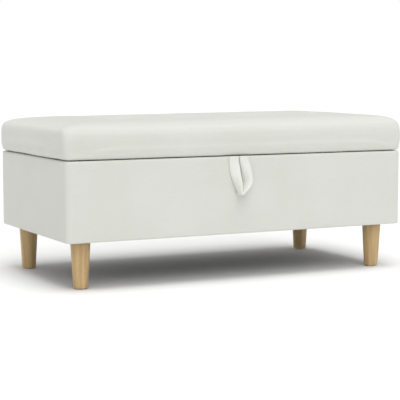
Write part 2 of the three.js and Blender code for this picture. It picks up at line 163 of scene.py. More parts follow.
@lru_cache(maxsize=None)
def material_of(finish: Any) -> bpy.types.Material:
    """Builds a finish's material once, however many pieces wear it."""
    return finish.build()


# ------------------------------------------------------------------ finishes


@dataclass(frozen=True)
class WovenUpholstery:
    """Plain-woven polyester upholstery cloth, which looks smooth and matt with a faint nap.

    Its yarns are about a millimetre apart, too fine to see from across a room, so they read as a
    soft grain close by. Slubs and dye variation give the slight unevenness of real cloth.
    """

    name: str = "woven_polyester_off_white"
    light: str = "#D4D5CF"
    dark: str = "#CFD0C9"
    thread_mm: float = 1.1
    roughness: float = 0.82

    def build(self) -> bpy.types.Material:
        """Makes the node material.

        Returns:
            The material.
        """
        material, tree, shader = start_material(self.name)
        shader.inputs["Roughness"].default_value = self.roughness
        shader.inputs["IOR"].default_value = 1.45
        shader.inputs["Sheen Weight"].default_value = 0.25
        shader.inputs["Sheen Roughness"].default_value = 0.5
        place = add_node(tree, "ShaderNodeTexCoord")
        metres = place.outputs["Object"]

        turns = 2 * math.pi / (self.thread_mm * MM)
        phase = add_node(tree, "ShaderNodeVectorMath", {0: metres, 1: (turns,) * 3}, operation="MULTIPLY")
        wave = add_node(tree, "ShaderNodeVectorMath", {0: phase.outputs[0]}, operation="SINE")
        yarn = add_node(tree, "ShaderNodeSeparateXYZ", {0: wave.outputs[0]})
        crossings = add_node(tree, "ShaderNodeCombineXYZ")
        for axis, (a, b) in enumerate(((1, 2), (0, 2), (0, 1))):
            over = {0: yarn.outputs[a], 1: yarn.outputs[b]}
            product = add_node(tree, "ShaderNodeMath", over, operation="MULTIPLY")
            tree.links.new(product.outputs[0], crossings.inputs[axis])
        facing = add_node(
            tree, "ShaderNodeVectorMath",
            {0: place.outputs["Normal"], 1: place.outputs["Normal"]}, operation="MULTIPLY",
        )
        weave = add_node(
            tree, "ShaderNodeVectorMath",
            {0: crossings.outputs[0], 1: facing.outputs[0]}, operation="DOT_PRODUCT",
        )
        nap = add_node(tree, "ShaderNodeTexNoise", {"Vector": metres, "Scale": 1400.0, "Detail": 3.0})
        height = add_node(
            tree, "ShaderNodeMath", {0: nap.outputs[0], 1: 0.8, 2: weave.outputs["Value"]},
            operation="MULTIPLY_ADD",
        )
        bump = add_node(
            tree, "ShaderNodeBump",
            {"Height": height.outputs[0], "Strength": 0.35, "Distance": 0.12 * MM},
        )
        tree.links.new(bump.outputs[0], shader.inputs["Normal"])

        slub = add_node(
            tree, "ShaderNodeMapping", {"Vector": metres, "Scale": (60.0, 260.0, 260.0)},
        )
        slubs = add_node(
            tree, "ShaderNodeTexNoise", {"Vector": slub.outputs[0], "Scale": 1.0, "Detail": 4.0}
        )
        cloud = add_node(tree, "ShaderNodeTexNoise", {"Vector": metres, "Scale": 7.0, "Detail": 2.0})
        share = add_node(
            tree, "ShaderNodeMix", {"Factor": 0.6, 2: slubs.outputs[0], 3: cloud.outputs[0]},
        )
        tone = add_node(tree, "ShaderNodeValToRGB", {"Fac": share.outputs[0]})
        tone.color_ramp.elements[0].position = 0.3
        tone.color_ramp.elements[1].position = 0.7
        tone.color_ramp.elements[0].color = linear(self.dark)
        tone.color_ramp.elements[1].color = linear(self.light)
        tree.links.new(tone.outputs[0], shader.inputs["Base Color"])
        return material


@dataclass(frozen=True)
class Wood:
    """Wood with fibres along one axis: soft growth bands, fine streaks and short ray flecks."""

    name: str
    light: str
    dark: str
    along: int
    band_mm: float = 9.0
    fibre_mm: float = 0.6
    fleck: float = 0.35
    roughness: float = 0.42
    lacquer: float = 0.0

    def build(self) -> bpy.types.Material:
        """Makes the node material.

        Returns:
            The material.
        """
        material, tree, shader = start_material(self.name)
        shader.inputs["IOR"].default_value = 1.52
        shader.inputs["Coat Weight"].default_value = self.lacquer
        shader.inputs["Coat Roughness"].default_value = 0.25
        metres = add_node(tree, "ShaderNodeTexCoord").outputs["Object"]

        def stretched(cross_mm: float, length_mm: float, detail: float) -> Any:
            """Adds noise that is drawn out along the fibres.

            Args:
                cross_mm: Size of its grain across the fibres.
                length_mm: Its size along them.
                detail: Detail of the noise.

            Returns:
                Socket with the noise.
            """
            scale = [1 / (cross_mm * MM)] * 3
            scale[self.along] = 1 / (length_mm * MM)
            place = add_node(tree, "ShaderNodeMapping", {"Vector": metres, "Scale": scale})
            return add_node(
                tree, "ShaderNodeTexNoise", {"Vector": place.outputs[0], "Scale": 1.0, "Detail": detail},
            ).outputs[0]

        bands = stretched(self.band_mm, 160, 2.0)
        fibres = stretched(self.fibre_mm, 30, 3.0)
        flecks = stretched(self.fibre_mm * 0.9, 2.5, 1.0)
        mixed = add_node(tree, "ShaderNodeMix", {"Factor": 0.35, 2: bands, 3: fibres})
        tone = add_node(tree, "ShaderNodeValToRGB", {"Fac": mixed.outputs[0]})
        tone.color_ramp.elements[0].position = 0.36
        tone.color_ramp.elements[1].position = 0.62
        tone.color_ramp.elements[0].color = linear(self.dark)
        tone.color_ramp.elements[1].color = linear(self.light)
        spots = add_node(tree, "ShaderNodeValToRGB", {"Fac": flecks})
        spots.color_ramp.elements[0].position = 0.6
        spots.color_ramp.elements[1].position = 0.72
        amount = add_node(
            tree, "ShaderNodeMath", {0: spots.outputs[0], 1: self.fleck}, operation="MULTIPLY",
        )
        colour = add_node(
            tree, "ShaderNodeMix",
            {"Factor": amount.outputs[0], 6: tone.outputs[0], 7: linear(self.dark)}, data_type="RGBA",
        )
        tree.links.new(colour.outputs[2], shader.inputs["Base Color"])
        rough = add_node(
            tree, "ShaderNodeMapRange",
            {0: fibres, 3: self.roughness - 0.05, 4: self.roughness + 0.1},
        )
        tree.links.new(rough.outputs[0], shader.inputs["Roughness"])
        bump = add_node(
            tree, "ShaderNodeBump", {"Height": fibres, "Strength": 0.2, "Distance": 0.1 * MM},
        )
        tree.links.new(bump.outputs[0], shader.inputs["Normal"])
        return material


@dataclass(frozen=True)
class Nonwoven:
    """Spunbond polypropylene: a dull fibre felt, bonded by a grid of small pressed dots."""

    name: str = "spunbond_lining_black"
    colour: str = "#2B2B2D"
    worn: str = "#3A3A3B"
    dot_mm: float = 2.2

    def build(self) -> bpy.types.Material:
        """Makes the node material.

        Returns:
            The material.
        """
        material, tree, shader = start_material(self.name)
        shader.inputs["Roughness"].default_value = 0.9
        shader.inputs["IOR"].default_value = 1.49
        shader.inputs["Sheen Weight"].default_value = 0.15
        metres = add_node(tree, "ShaderNodeTexCoord").outputs["Object"]
        dots = add_node(
            tree, "ShaderNodeTexVoronoi",
            {"Vector": metres, "Scale": 1 / (self.dot_mm * MM), "Randomness": 0.15},
        )
        fibres = add_node(tree, "ShaderNodeTexNoise", {"Vector": metres, "Scale": 900.0, "Detail": 5.0})
        height = add_node(
            tree, "ShaderNodeMath", {0: dots.outputs["Distance"], 1: 0.9, 2: fibres.outputs[0]},
            operation="MULTIPLY_ADD",
        )
        bump = add_node(
            tree, "ShaderNodeBump",
            {"Height": height.outputs[0], "Strength": 0.6, "Distance": 0.2 * MM},
        )
        tree.links.new(bump.outputs[0], shader.inputs["Normal"])
        tone = add_node(tree, "ShaderNodeValToRGB", {"Fac": fibres.outputs[0]})
        tone.color_ramp.elements[0].color = linear(self.colour)
        tone.color_ramp.elements[1].color = linear(self.worn)
        tree.links.new(tone.outputs[0], shader.inputs["Base Color"])
        return material


@dataclass(frozen=True)
class Metal:
    """Plated or polished steel: a cloudy plating, or fine polish marks, in its roughness."""

    name: str
    colour: str
    clouded: str
    roughness: float
    spread: float
    grain_mm: float

    def build(self) -> bpy.types.Material:
        """Makes the node material.

        Returns:
            The material.
        """
        material, tree, shader = start_material(self.name)
        shader.inputs["Metallic"].default_value = 1.0
        metres = add_node(tree, "ShaderNodeTexCoord").outputs["Object"]
        cloud = add_node(
            tree, "ShaderNodeTexNoise",
            {"Vector": metres, "Scale": 1 / (self.grain_mm * MM), "Detail": 4.0},
        )
        rough = add_node(
            tree, "ShaderNodeMapRange",
            {0: cloud.outputs[0], 3: self.roughness - self.spread, 4: self.roughness + self.spread},
        )
        tree.links.new(rough.outputs[0], shader.inputs["Roughness"])
        tone = add_node(
            tree, "ShaderNodeMix",
            {"Factor": cloud.outputs[0], 6: linear(self.colour), 7: linear(self.clouded)},
            data_type="RGBA",
        )
        tree.links.new(tone.outputs[2], shader.inputs["Base Color"])
        return material


@dataclass(frozen=True)
class Moulded:
    """Paint or moulded plastic: one colour, broken up by a fine texture of its surface."""

    name: str
    light: str
    dark: str
    roughness: float
    texture_mm: float
    depth_mm: float

    def build(self) -> bpy.types.Material:
        """Makes the node material.

        Returns:
            The material.
        """
        material, tree, shader = start_material(self.name)
        shader.inputs["Roughness"].default_value = self.roughness
        shader.inputs["IOR"].default_value = 1.5
        metres = add_node(tree, "ShaderNodeTexCoord").outputs["Object"]
        peel = add_node(
            tree, "ShaderNodeTexNoise",
            {"Vector": metres, "Scale": 1 / (self.texture_mm * MM), "Detail": 2.0},
        )
        tone = add_node(
            tree, "ShaderNodeMix",
            {"Factor": peel.outputs[0], 6: linear(self.dark), 7: linear(self.light)}, data_type="RGBA",
        )
        tree.links.new(tone.outputs[2], shader.inputs["Base Color"])
        bump = add_node(
            tree, "ShaderNodeBump",
            {"Height": peel.outputs[0], "Strength": 0.4, "Distance": self.depth_mm * MM},
        )
        tree.links.new(bump.outputs[0], shader.inputs["Normal"])
        return material


UPHOLSTERY = WovenUpholstery()
# The same cloth in a lighter colour for the strap: painted light, so that the strap looks brighter than
# the body cloth.
STRAP_CLOTH_PAINTED_LIGHT = WovenUpholstery("woven_polyester_bias_strap", "#DFE0DA", "#D9DAD4")
LINING = Nonwoven()
# Turned beech under a satin lacquer: straight grain, short dark ray flecks.
BEECH = Wood("lacquered_beech", "#CBAC7B", "#AE8F5D", along=2, lacquer=0.15)
# Rotary-cut birch faces: wide, quiet figure and a dry, sanded surface.
BIRCH_PLY = Wood("birch_plywood", "#D8C19A", "#BFA278", along=0, band_mm=28, roughness=0.6)
# Planed pine: wide growth bands and hardly any flecks.
PINE = Wood("planed_pine", "#D9BC8A", "#B58F58", along=0, band_mm=14, fleck=0.1, roughness=0.65)
# Bright zinc: a bluish plate whose clouds break up its reflections.
ZINC = Metal("bright_zinc_plate", "#C3C6C9", "#9A9DA1", 0.32, 0.08, 6.0)
# Hard chrome on the ground rods: nearly a mirror, with fine polish marks.
CHROME = Metal("hard_chrome", "#DADDE0", "#9A9DA1", 0.1, 0.03, 2.0)
# Black stove enamel on the gas cylinders, with a fine orange peel.
ENAMEL = Moulded("black_enamel", "#1D1E20", "#141516", 0.35, 1.5, 0.02)
# Natural nylon: milky, with the satin grain of its mould.
NYLON = Moulded("moulded_nylon", "#E9E6DC", "#E2DFD3", 0.5, 0.6, 0.03)
# Twisted polyester thread, a shade darker than the cloth.
THREAD = Moulded("polyester_sewing_thread", "#DCDCD4", "#CACAC1", 0.7, 0.3, 0.05)


# ------------------------------------------------------------------ shapes


@dataclass
class Shape:
    """Vertices in millimetres and faces of one closed surface."""

    vertices: np.ndarray
    faces: list[tuple[int, ...]]

    def placed(self, matrix: Matrix) -> "Shape":
        """Moves the shape by a matrix.

        Args:
            matrix: Turn and move, with lengths in millimetres.

        Returns:
            The moved shape.
        """
        turn = np.array(matrix.to_3x3())
        moved = self.vertices @ turn.T + np.array(matrix.translation)
        return Shape(moved, self.faces)

    def at(self, x: float, y: float, z: float) -> "Shape":
        """Returns the shape moved to a point."""
        return Shape(self.vertices + np.array([x, y, z]), self.faces)

    def to_object(self, name: str, finish: Any, sharp_degrees: float = 40) -> bpy.types.Object:
        """Makes the Blender object, in metres, shaded smooth up to an edge angle.

        Args:
            name: Object name.
            finish: Finish whose material it wears.
            sharp_degrees: Edges that fold more than this stay sharp.

        Returns:
            The new object, linked to the scene.
        """
        mesh = bpy.data.meshes.new(name)
        mesh.from_pydata((self.vertices * MM).tolist(), [], self.faces)
        mesh.validate()
        mesh.polygons.foreach_set("use_smooth", [True] * len(mesh.polygons))
        mesh.set_sharp_from_angle(angle=math.radians(sharp_degrees))
        mesh.materials.append(material_of(finish))
        obj = bpy.data.objects.new(name, mesh)
        bpy.context.scene.collection.objects.link(obj)
        return obj


def skin(rings: Sequence[np.ndarray], closed: bool = False) -> Shape:
    """Joins equal rings of points into a closed surface.

    Args:
        rings: Rings of (n, 3) points. Going anticlockwise and upwards gives outward faces.
        closed: True joins the last ring to the first, False caps both ends.

    Returns:
        The surface.
    """
    count = len(rings[0])
    faces: list[tuple[int, ...]] = []
    joins = len(rings) if closed else len(rings) - 1
    for i in range(joins):
        here, after = i * count, ((i + 1) % len(rings)) * count
        for j in range(count):
            k = (j + 1) % count
            faces.append((here + j, here + k, after + k, after + j))
    if not closed:
        last = (len(rings) - 1) * count
        faces.append(tuple(reversed(range(count))))
        faces.append(tuple(range(last, last + count)))
    return Shape(np.concatenate(rings), faces)


def turned(profile: Sequence[tuple[float, float]], segments: int = 48) -> Shape:
    """Turns a profile about Z. Points on the axis become single poles.

    Args:
        profile: (radius, height) points from the bottom to the top, in millimetres.
        segments: Steps round the axis.

    Returns:
        The closed surface.
    """
    angles = np.linspace(0, 2 * math.pi, segments, endpoint=False)
    vertices: list[np.ndarray] = []
    starts: list[tuple[int, bool]] = []
    for radius, z in profile:
        pole = radius < 1e-6
        starts.append((sum(len(v) for v in vertices), pole))
        ring = [[0, 0, z]] if pole else np.c_[radius * np.cos(angles), radius * np.sin(angles),
                                              np.full(segments, z)]
        vertices.append(np.array(ring, float))
    faces: list[tuple[int, ...]] = []
    for (here, here_pole), (after, after_pole) in zip(starts, starts[1:]):
        for j in range(segments):
            k = (j + 1) % segments
            if here_pole:
                faces.append((here, after + k, after + j))
            elif after_pole:
                faces.append((here + j, here + k, after))
            else:
                faces.append((here + j, here + k, after + k, after + j))
    return Shape(np.concatenate(vertices), faces)


@dataclass(frozen=True)
class Outline:
    """Plan of a rounded rectangle with the same number of points at any size."""

    along_x: int
    along_y: int
    per_corner: int

    def points(self, half_x: float, half_y: float, radius: float) -> np.ndarray:
        """Lays out the plan, anticlockwise from the far end of the right-hand side.

        Args:
            half_x: Half its size along X.
            half_y: Half its size along Y.
            radius: Radius of its corners.

        Returns:
            (n, 2) points.
        """
        points: list[tuple[float, float]] = []
        corners = ((1, 1), (-1, 1), (-1, -1), (1, -1))
        for quarter, (sx, sy) in enumerate(corners):
            centre = np.array([sx * (half_x - radius), sy * (half_y - radius)])
            for i in range(self.per_corner + 1):
                angle = (quarter + i / self.per_corner) * math.pi / 2
                points.append(tuple(centre + radius * np.array([math.cos(angle), math.sin(angle)])))
            sx, sy = corners[(quarter + 1) % 4]
            angle = (quarter + 1) * math.pi / 2
            end = np.array([sx * (half_x - radius), sy * (half_y - radius)])
            end = end + radius * np.array([math.cos(angle), math.sin(angle)])
            steps = self.along_x if quarter % 2 == 0 else self.along_y
            start = np.array(points[-1])
            for i in range(1, steps):
                points.append(tuple(start + (end - start) * i / steps))
        return np.array(points)


def plate(size_x: float, size_y: float, thick: float, corner: float, edge: float = 0.3) -> Shape:
    """A flat plate about the origin, with round corners, broken edges and its base at z = 0.

    Args:
        size_x: Its size along X, in millimetres.
        size_y: Its size along Y.
        thick: Its thickness.
        corner: Radius of its corners in plan.
        edge: Width of its broken edges.

    Returns:
        The closed plate.
    """
    outline = Outline(1, 1, 6)
    rings = []
    for inset, z in ((edge, 0.0), (0.0, edge), (0.0, thick - edge), (edge, thick)):
        ring = outline.points(size_x / 2 - inset, size_y / 2 - inset, corner - inset)
        rings.append(np.c_[ring, np.full(len(ring), z)])
    return skin(rings)


ALONG_X = Matrix.Rotation(math.pi / 2, 4, "Y")


def combine(base: bpy.types.Object, tools: Iterable[bpy.types.Object], operation: Operation) -> None:
    """Joins tools to a mesh object or cuts them from it, and removes them.

    Args:
        base: Object that is changed.
        tools: Closed mesh objects.
        operation: What is done with them.
    """
    tools = list(tools)
    for tool in tools:
        modifier = base.modifiers.new("boolean", "BOOLEAN")
        modifier.operation = operation.value
        modifier.solver = "EXACT"
        modifier.object = tool
    bake_modifiers(base)
    for tool in tools:
        bpy.data.objects.remove(tool)


def bake_modifiers(obj: bpy.types.Object) -> None:
    """Turns an object's modifiers into its plain mesh.

    Args:
        obj: Object whose evaluated mesh takes the place of its mesh.
    """
    graph = bpy.context.evaluated_depsgraph_get()
    mesh = bpy.data.meshes.new_from_object(obj.evaluated_get(graph))
    obj.modifiers.clear()
    old = obj.data
    obj.data = mesh
    mesh.name = obj.name
    bpy.data.meshes.remove(old)


def points_of(obj: bpy.types.Object) -> np.ndarray:
    """Reads an object's vertices, in millimetres.

    Args:
        obj: A mesh object.

    Returns:
        Its (n, 3) vertices.
    """
    data = np.empty(len(obj.data.vertices) * 3)
    obj.data.vertices.foreach_get("co", data)
    return data.reshape(-1, 3) / MM


def move_points(obj: bpy.types.Object, points: np.ndarray) -> None:
    """Moves an object's vertices to points in millimetres."""
    obj.data.vertices.foreach_set("co", (points * MM).ravel())
    obj.data.update()


def smooth(obj: bpy.types.Object, sharp_degrees: float = 35) -> None:
    """Shades an object smooth up to an edge angle.

    Args:
        obj: A mesh object.
        sharp_degrees: Edges that fold more than this stay sharp.
    """
    mesh = obj.data
    mesh.polygons.foreach_set("use_smooth", [True] * len(mesh.polygons))
    mesh.set_sharp_from_angle(angle=math.radians(sharp_degrees))


def settle(obj: bpy.types.Object, body: str, slot: Slot, *replaced: str) -> bpy.types.Object:
    """Puts a finished piece on its body and hides the nodes that it stands for.

    Args:
        obj: Finished piece.
        body: Body that it rides on.
        slot: Slot of the record; not used.
        replaced: CAD nodes that it hides.

    Returns:
        The piece.
    """
    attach(obj, body)
    if replaced:
        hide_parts(*replaced)
    log.info("%s: %d faces on %s", obj.name, len(obj.data.polygons), body)
    return obj


def wobble(points: np.ndarray, size_mm: float, seed: float) -> np.ndarray:
    """Smooth noise from -1 to 1 at points in millimetres, with bumps about size_mm across."""
    shift = Vector((seed, -seed, 2 * seed))
    return np.array([noise.noise(Vector(p) / size_mm + shift) for p in points])


# ------------------------------------------------------------------ the bench's frame


@dataclass(frozen=True)
class Bench:
    """Driving sizes of the bench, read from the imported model, in millimetres."""

    half_length: float
    half_depth: float
    centre_y: float
    box_bottom: float
    box_top: float
    lid_bottom: float
    lid_top: float
    hinge_y: float
    hinge_z: float

    @classmethod
    def read(cls) -> "Bench":
        """Reads the sizes from the frame's nodes and joints.

        Returns:
            The bench's sizes.
        """
        low, high = (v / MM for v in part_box("box_upholstery"))
        lid_low, lid_high = (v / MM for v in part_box("lid_cover"))
        hinge = next(j for j in frame["joints"] if j["name"] == "lid_hinge")["pos_m"]
        return cls(
            half_length=(high.x - low.x) / 2,
            half_depth=(high.y - low.y) / 2,
            centre_y=(high.y + low.y) / 2,
            box_bottom=low.z,
            box_top=high.z,
            lid_bottom=lid_low.z,
            lid_top=lid_high.z,
            hinge_y=hinge[1] / MM,
            hinge_z=hinge[2] / MM,
        )


# ------------------------------------------------------------------ spreads by Geometry Nodes


@dataclass(frozen=True)
class Spread:
    """A Geometry Nodes tree that repeats one small part over points or along lines."""

    name: str
    sizes: dict = field(default_factory=dict, hash=False)

    def start(self) -> tuple[Any, Any]:
        """Makes the tree with its named inputs.

        Returns:
            The tree and its group input node.
        """
        tree = bpy.data.node_groups.new(self.name, "GeometryNodeTree")
        tree.interface.new_socket("Geometry", in_out="INPUT", socket_type="NodeSocketGeometry")
        for label in self.sizes:
            tree.interface.new_socket(label, in_out="INPUT", socket_type="NodeSocketFloat")
        tree.interface.new_socket("Material", in_out="INPUT", socket_type="NodeSocketMaterial")
        tree.interface.new_socket("Geometry", in_out="OUTPUT", socket_type="NodeSocketGeometry")
        return tree, add_node(tree, "NodeGroupInput")

    def end(self, tree: Any, group: Any, points: Any, part: Any, rotation: Any) -> Any:
        """Instances the part, realizes it and sets its material.

        Args:
            tree: Tree being made.
            group: Its group input node.
            points: Socket with the points.
            part: Socket with one part.
            rotation: Socket with the rotation at each point.

        Returns:
            The tree.
        """
        spread = add_node(
            tree, "GeometryNodeInstanceOnPoints",
            {"Points": points, "Instance": part, "Rotation": rotation},
        )
        real = add_node(tree, "GeometryNodeRealizeInstances", {"Geometry": spread.outputs[0]})
        dress = add_node(
            tree, "GeometryNodeSetMaterial",
            {"Geometry": real.outputs[0], "Material": group.outputs["Material"]},
        )
        add_node(tree, "NodeGroupOutput", {"Geometry": dress.outputs[0]})
        return tree

    def apply(
        self, tree: Any, name: str, points: np.ndarray, edges: list[tuple[int, int]], finish: Any,
        facing: np.ndarray | None = None,
    ) -> bpy.types.Object:
        """Runs the tree over points or lines and returns the plain mesh.

        Args:
            tree: Tree from end().
            name: Name of the piece.
            points: (n, 3) points in millimetres.
            edges: Lines between points, or an empty list for loose points.
            finish: Finish of the part.
            facing: Direction at each point, kept as the attribute "facing".

        Returns:
            The object with the realized mesh.
        """
        mesh = bpy.data.meshes.new(name)
        mesh.from_pydata((points * MM).tolist(), edges, [])
        if facing is not None:
            data = mesh.attributes.new("facing", "FLOAT_VECTOR", "POINT").data
            data.foreach_set("vector", np.asarray(facing, float).ravel())
        obj = bpy.data.objects.new(name, mesh)
        bpy.context.scene.collection.objects.link(obj)
        modifier = obj.modifiers.new(self.name, "NODES")
        modifier.node_group = tree
        for item in tree.interface.items_tree:
            if item.in_out == "INPUT" and item.name in self.sizes:
                modifier[item.identifier] = float(self.sizes[item.name])
            if item.in_out == "INPUT" and item.name == "Material":
                modifier[item.identifier] = material_of(finish)
        bake_modifiers(obj)
        return obj


def aligned(tree: Any, axis: str, direction: Any) -> Any:
    """Adds the rotation that points an axis of the part along a direction socket.

    Args:
        tree: Tree that gets the node.
        axis: Axis of the part: X, Y or Z.
        direction: Socket with the direction.

    Returns:
        Socket with the rotation.
    """
    return add_node(
        tree, "FunctionNodeAlignRotationToVector", {"Vector": direction}, axis=axis,
    ).outputs[0]


def run_of_threads(length: float, thick: float, pitch: float) -> tuple[Spread, Any]:
    """A tree that lays short round threads or wires end to end along lines.

    Args:
        length: Length of one stitch, in millimetres.
        thick: Its thickness.
        pitch: Distance from one to the next.

    Returns:
        The spread and its tree.
    """
    sizes = {"Length": length * MM, "Thickness": thick * MM, "Pitch": pitch * MM}
    spread = Spread("run_of_threads", sizes)
    tree, group = spread.start()
    lines = add_node(tree, "GeometryNodeMeshToCurve", {0: group.outputs["Geometry"]})
    steps = add_node(
        tree, "GeometryNodeResampleCurve",
        {"Curve": lines.outputs[0], "Length": group.outputs["Pitch"]}, mode="LENGTH",
    )
    bead = add_node(tree, "GeometryNodeMeshUVSphere", {"Segments": 8, "Rings": 6, "Radius": 0.5})
    size = add_node(
        tree, "ShaderNodeCombineXYZ",
        {0: group.outputs["Length"], 1: group.outputs["Thickness"], 2: group.outputs["Thickness"]},
    )
    stitch = add_node(
        tree, "GeometryNodeTransform", {"Geometry": bead.outputs[0], "Scale": size.outputs[0]},
    )
    tangent = add_node(tree, "GeometryNodeInputTangent")
    turn = aligned(tree, "X", tangent.outputs[0])
    return spread, spread.end(tree, group, steps.outputs[0], stitch.outputs[0], turn)


def screw_heads(diameter: float, height: float) -> tuple[Spread, Any]:
    """A tree that sets a cross-recessed screw head on every point, facing its direction.

    Args:
        diameter: Head diameter, in millimetres.
        height: How far the head stands up.

    Returns:
        The spread and its tree.
    """
    spread = Spread("screw_heads", {"Diameter": diameter * MM, "Height": height * MM})
    tree, group = spread.start()
    cap = add_node(
        tree, "GeometryNodeMeshUVSphere", {"Segments": 20, "Rings": 12, "Radius": 0.5},
    )
    size = add_node(
        tree, "ShaderNodeCombineXYZ",
        {0: group.outputs["Diameter"], 1: group.outputs["Diameter"]},
    )
    double = add_node(
        tree, "ShaderNodeMath", {0: group.outputs["Height"], 1: 2.0}, operation="MULTIPLY",
    )
    tree.links.new(double.outputs[0], size.inputs[2])
    dome = add_node(
        tree, "GeometryNodeTransform", {"Geometry": cap.outputs[0], "Scale": size.outputs[0]},
    )
    long = add_node(
        tree, "ShaderNodeMath", {0: group.outputs["Diameter"], 1: 0.56}, operation="MULTIPLY",
    )
    slim = add_node(
        tree, "ShaderNodeMath", {0: group.outputs["Diameter"], 1: 0.13}, operation="MULTIPLY",
    )
    bars = []
    for first, second in ((long, slim), (slim, long)):
        bar_size = add_node(
            tree, "ShaderNodeCombineXYZ",
            {0: first.outputs[0], 1: second.outputs[0], 2: double.outputs[0]},
        )
        bar = add_node(tree, "GeometryNodeMeshCube", {"Size": bar_size.outputs[0]})
        lift = add_node(tree, "ShaderNodeCombineXYZ", {2: double.outputs[0]})
        low = add_node(
            tree, "ShaderNodeVectorMath", {0: lift.outputs[0], 1: (1, 1, 0.72)}, operation="MULTIPLY",
        )
        bars.append(add_node(
            tree, "GeometryNodeTransform", {"Geometry": bar.outputs[0], "Translation": low.outputs[0]},
        ))
    head = add_node(tree, "GeometryNodeMeshBoolean", {"Mesh 1": dome.outputs[0]}, operation="DIFFERENCE")
    for bar in bars:
        tree.links.new(bar.outputs[0], head.inputs["Mesh 2"])
    points = add_node(tree, "GeometryNodeMeshToPoints", {"Mesh": group.outputs["Geometry"]})
    facing = add_node(
        tree, "GeometryNodeInputNamedAttribute", {"Name": "facing"}, data_type="FLOAT_VECTOR",
    )
    turn = aligned(tree, "Z", facing.outputs[0])
    return spread, spread.end(tree, group, points.outputs[0], head.outputs[0], turn)


def covered_buttons(diameter: float, height: float) -> tuple[Spread, Any]:
    """A tree that sets a domed, fabric-covered button on every point.

    Args:
        diameter: Button diameter, in millimetres.
        height: Its height.

    Returns:
        The spread and its tree.
    """
    spread = Spread("covered_buttons", {"Diameter": diameter * MM, "Height": height * MM})
    tree, group = spread.start()
    ball = add_node(tree, "GeometryNodeMeshUVSphere", {"Segments": 40, "Rings": 24, "Radius": 0.5})
    place = add_node(tree, "GeometryNodeInputPosition")
    parts = add_node(tree, "ShaderNodeSeparateXYZ", {0: place.outputs[0]})
    side = add_node(
        tree, "ShaderNodeVectorMath", {0: place.outputs[0], 1: (1, 1, 0)}, operation="MULTIPLY",
    )
    radius = add_node(tree, "ShaderNodeVectorMath", {0: side.outputs[0]}, operation="LENGTH")
    share = add_node(
        tree, "ShaderNodeMath", {0: radius.outputs["Value"], 1: 2.0}, operation="MULTIPLY",
    )
    fuller = add_node(
        tree, "ShaderNodeMath", {0: share.outputs[0], 1: 0.72}, operation="POWER",
    )
    grown = add_node(
        tree, "ShaderNodeMath", {0: fuller.outputs[0], 1: 0.5}, operation="MULTIPLY",
    )
    unit = add_node(tree, "ShaderNodeVectorMath", {0: side.outputs[0]}, operation="NORMALIZE")
    wide = add_node(
        tree, "ShaderNodeVectorMath", {0: unit.outputs[0], "Scale": grown.outputs[0]}, operation="SCALE",
    )
    flat = add_node(tree, "ShaderNodeCombineXYZ", {2: parts.outputs["Z"]})
    moved = add_node(
        tree, "ShaderNodeVectorMath", {0: wide.outputs[0], 1: flat.outputs[0]}, operation="ADD",
    )
    dome = add_node(
        tree, "GeometryNodeSetPosition", {"Geometry": ball.outputs[0], "Position": moved.outputs[0]},
    )
    size = add_node(
        tree, "ShaderNodeCombineXYZ",
        {0: group.outputs["Diameter"], 1: group.outputs["Diameter"], 2: group.outputs["Height"]},
    )
    button = add_node(
        tree, "GeometryNodeTransform", {"Geometry": dome.outputs[0], "Scale": size.outputs[0]},
    )
    soft = add_node(tree, "GeometryNodeSetShadeSmooth", {"Geometry": button.outputs[0]})
    points = add_node(tree, "GeometryNodeMeshToPoints", {"Mesh": group.outputs["Geometry"]})
    still = add_node(tree, "FunctionNodeEulerToRotation")
    return spread, spread.end(tree, group, points.outputs[0], soft.outputs[0], still.outputs[0])


# ------------------------------------------------------------------ lid


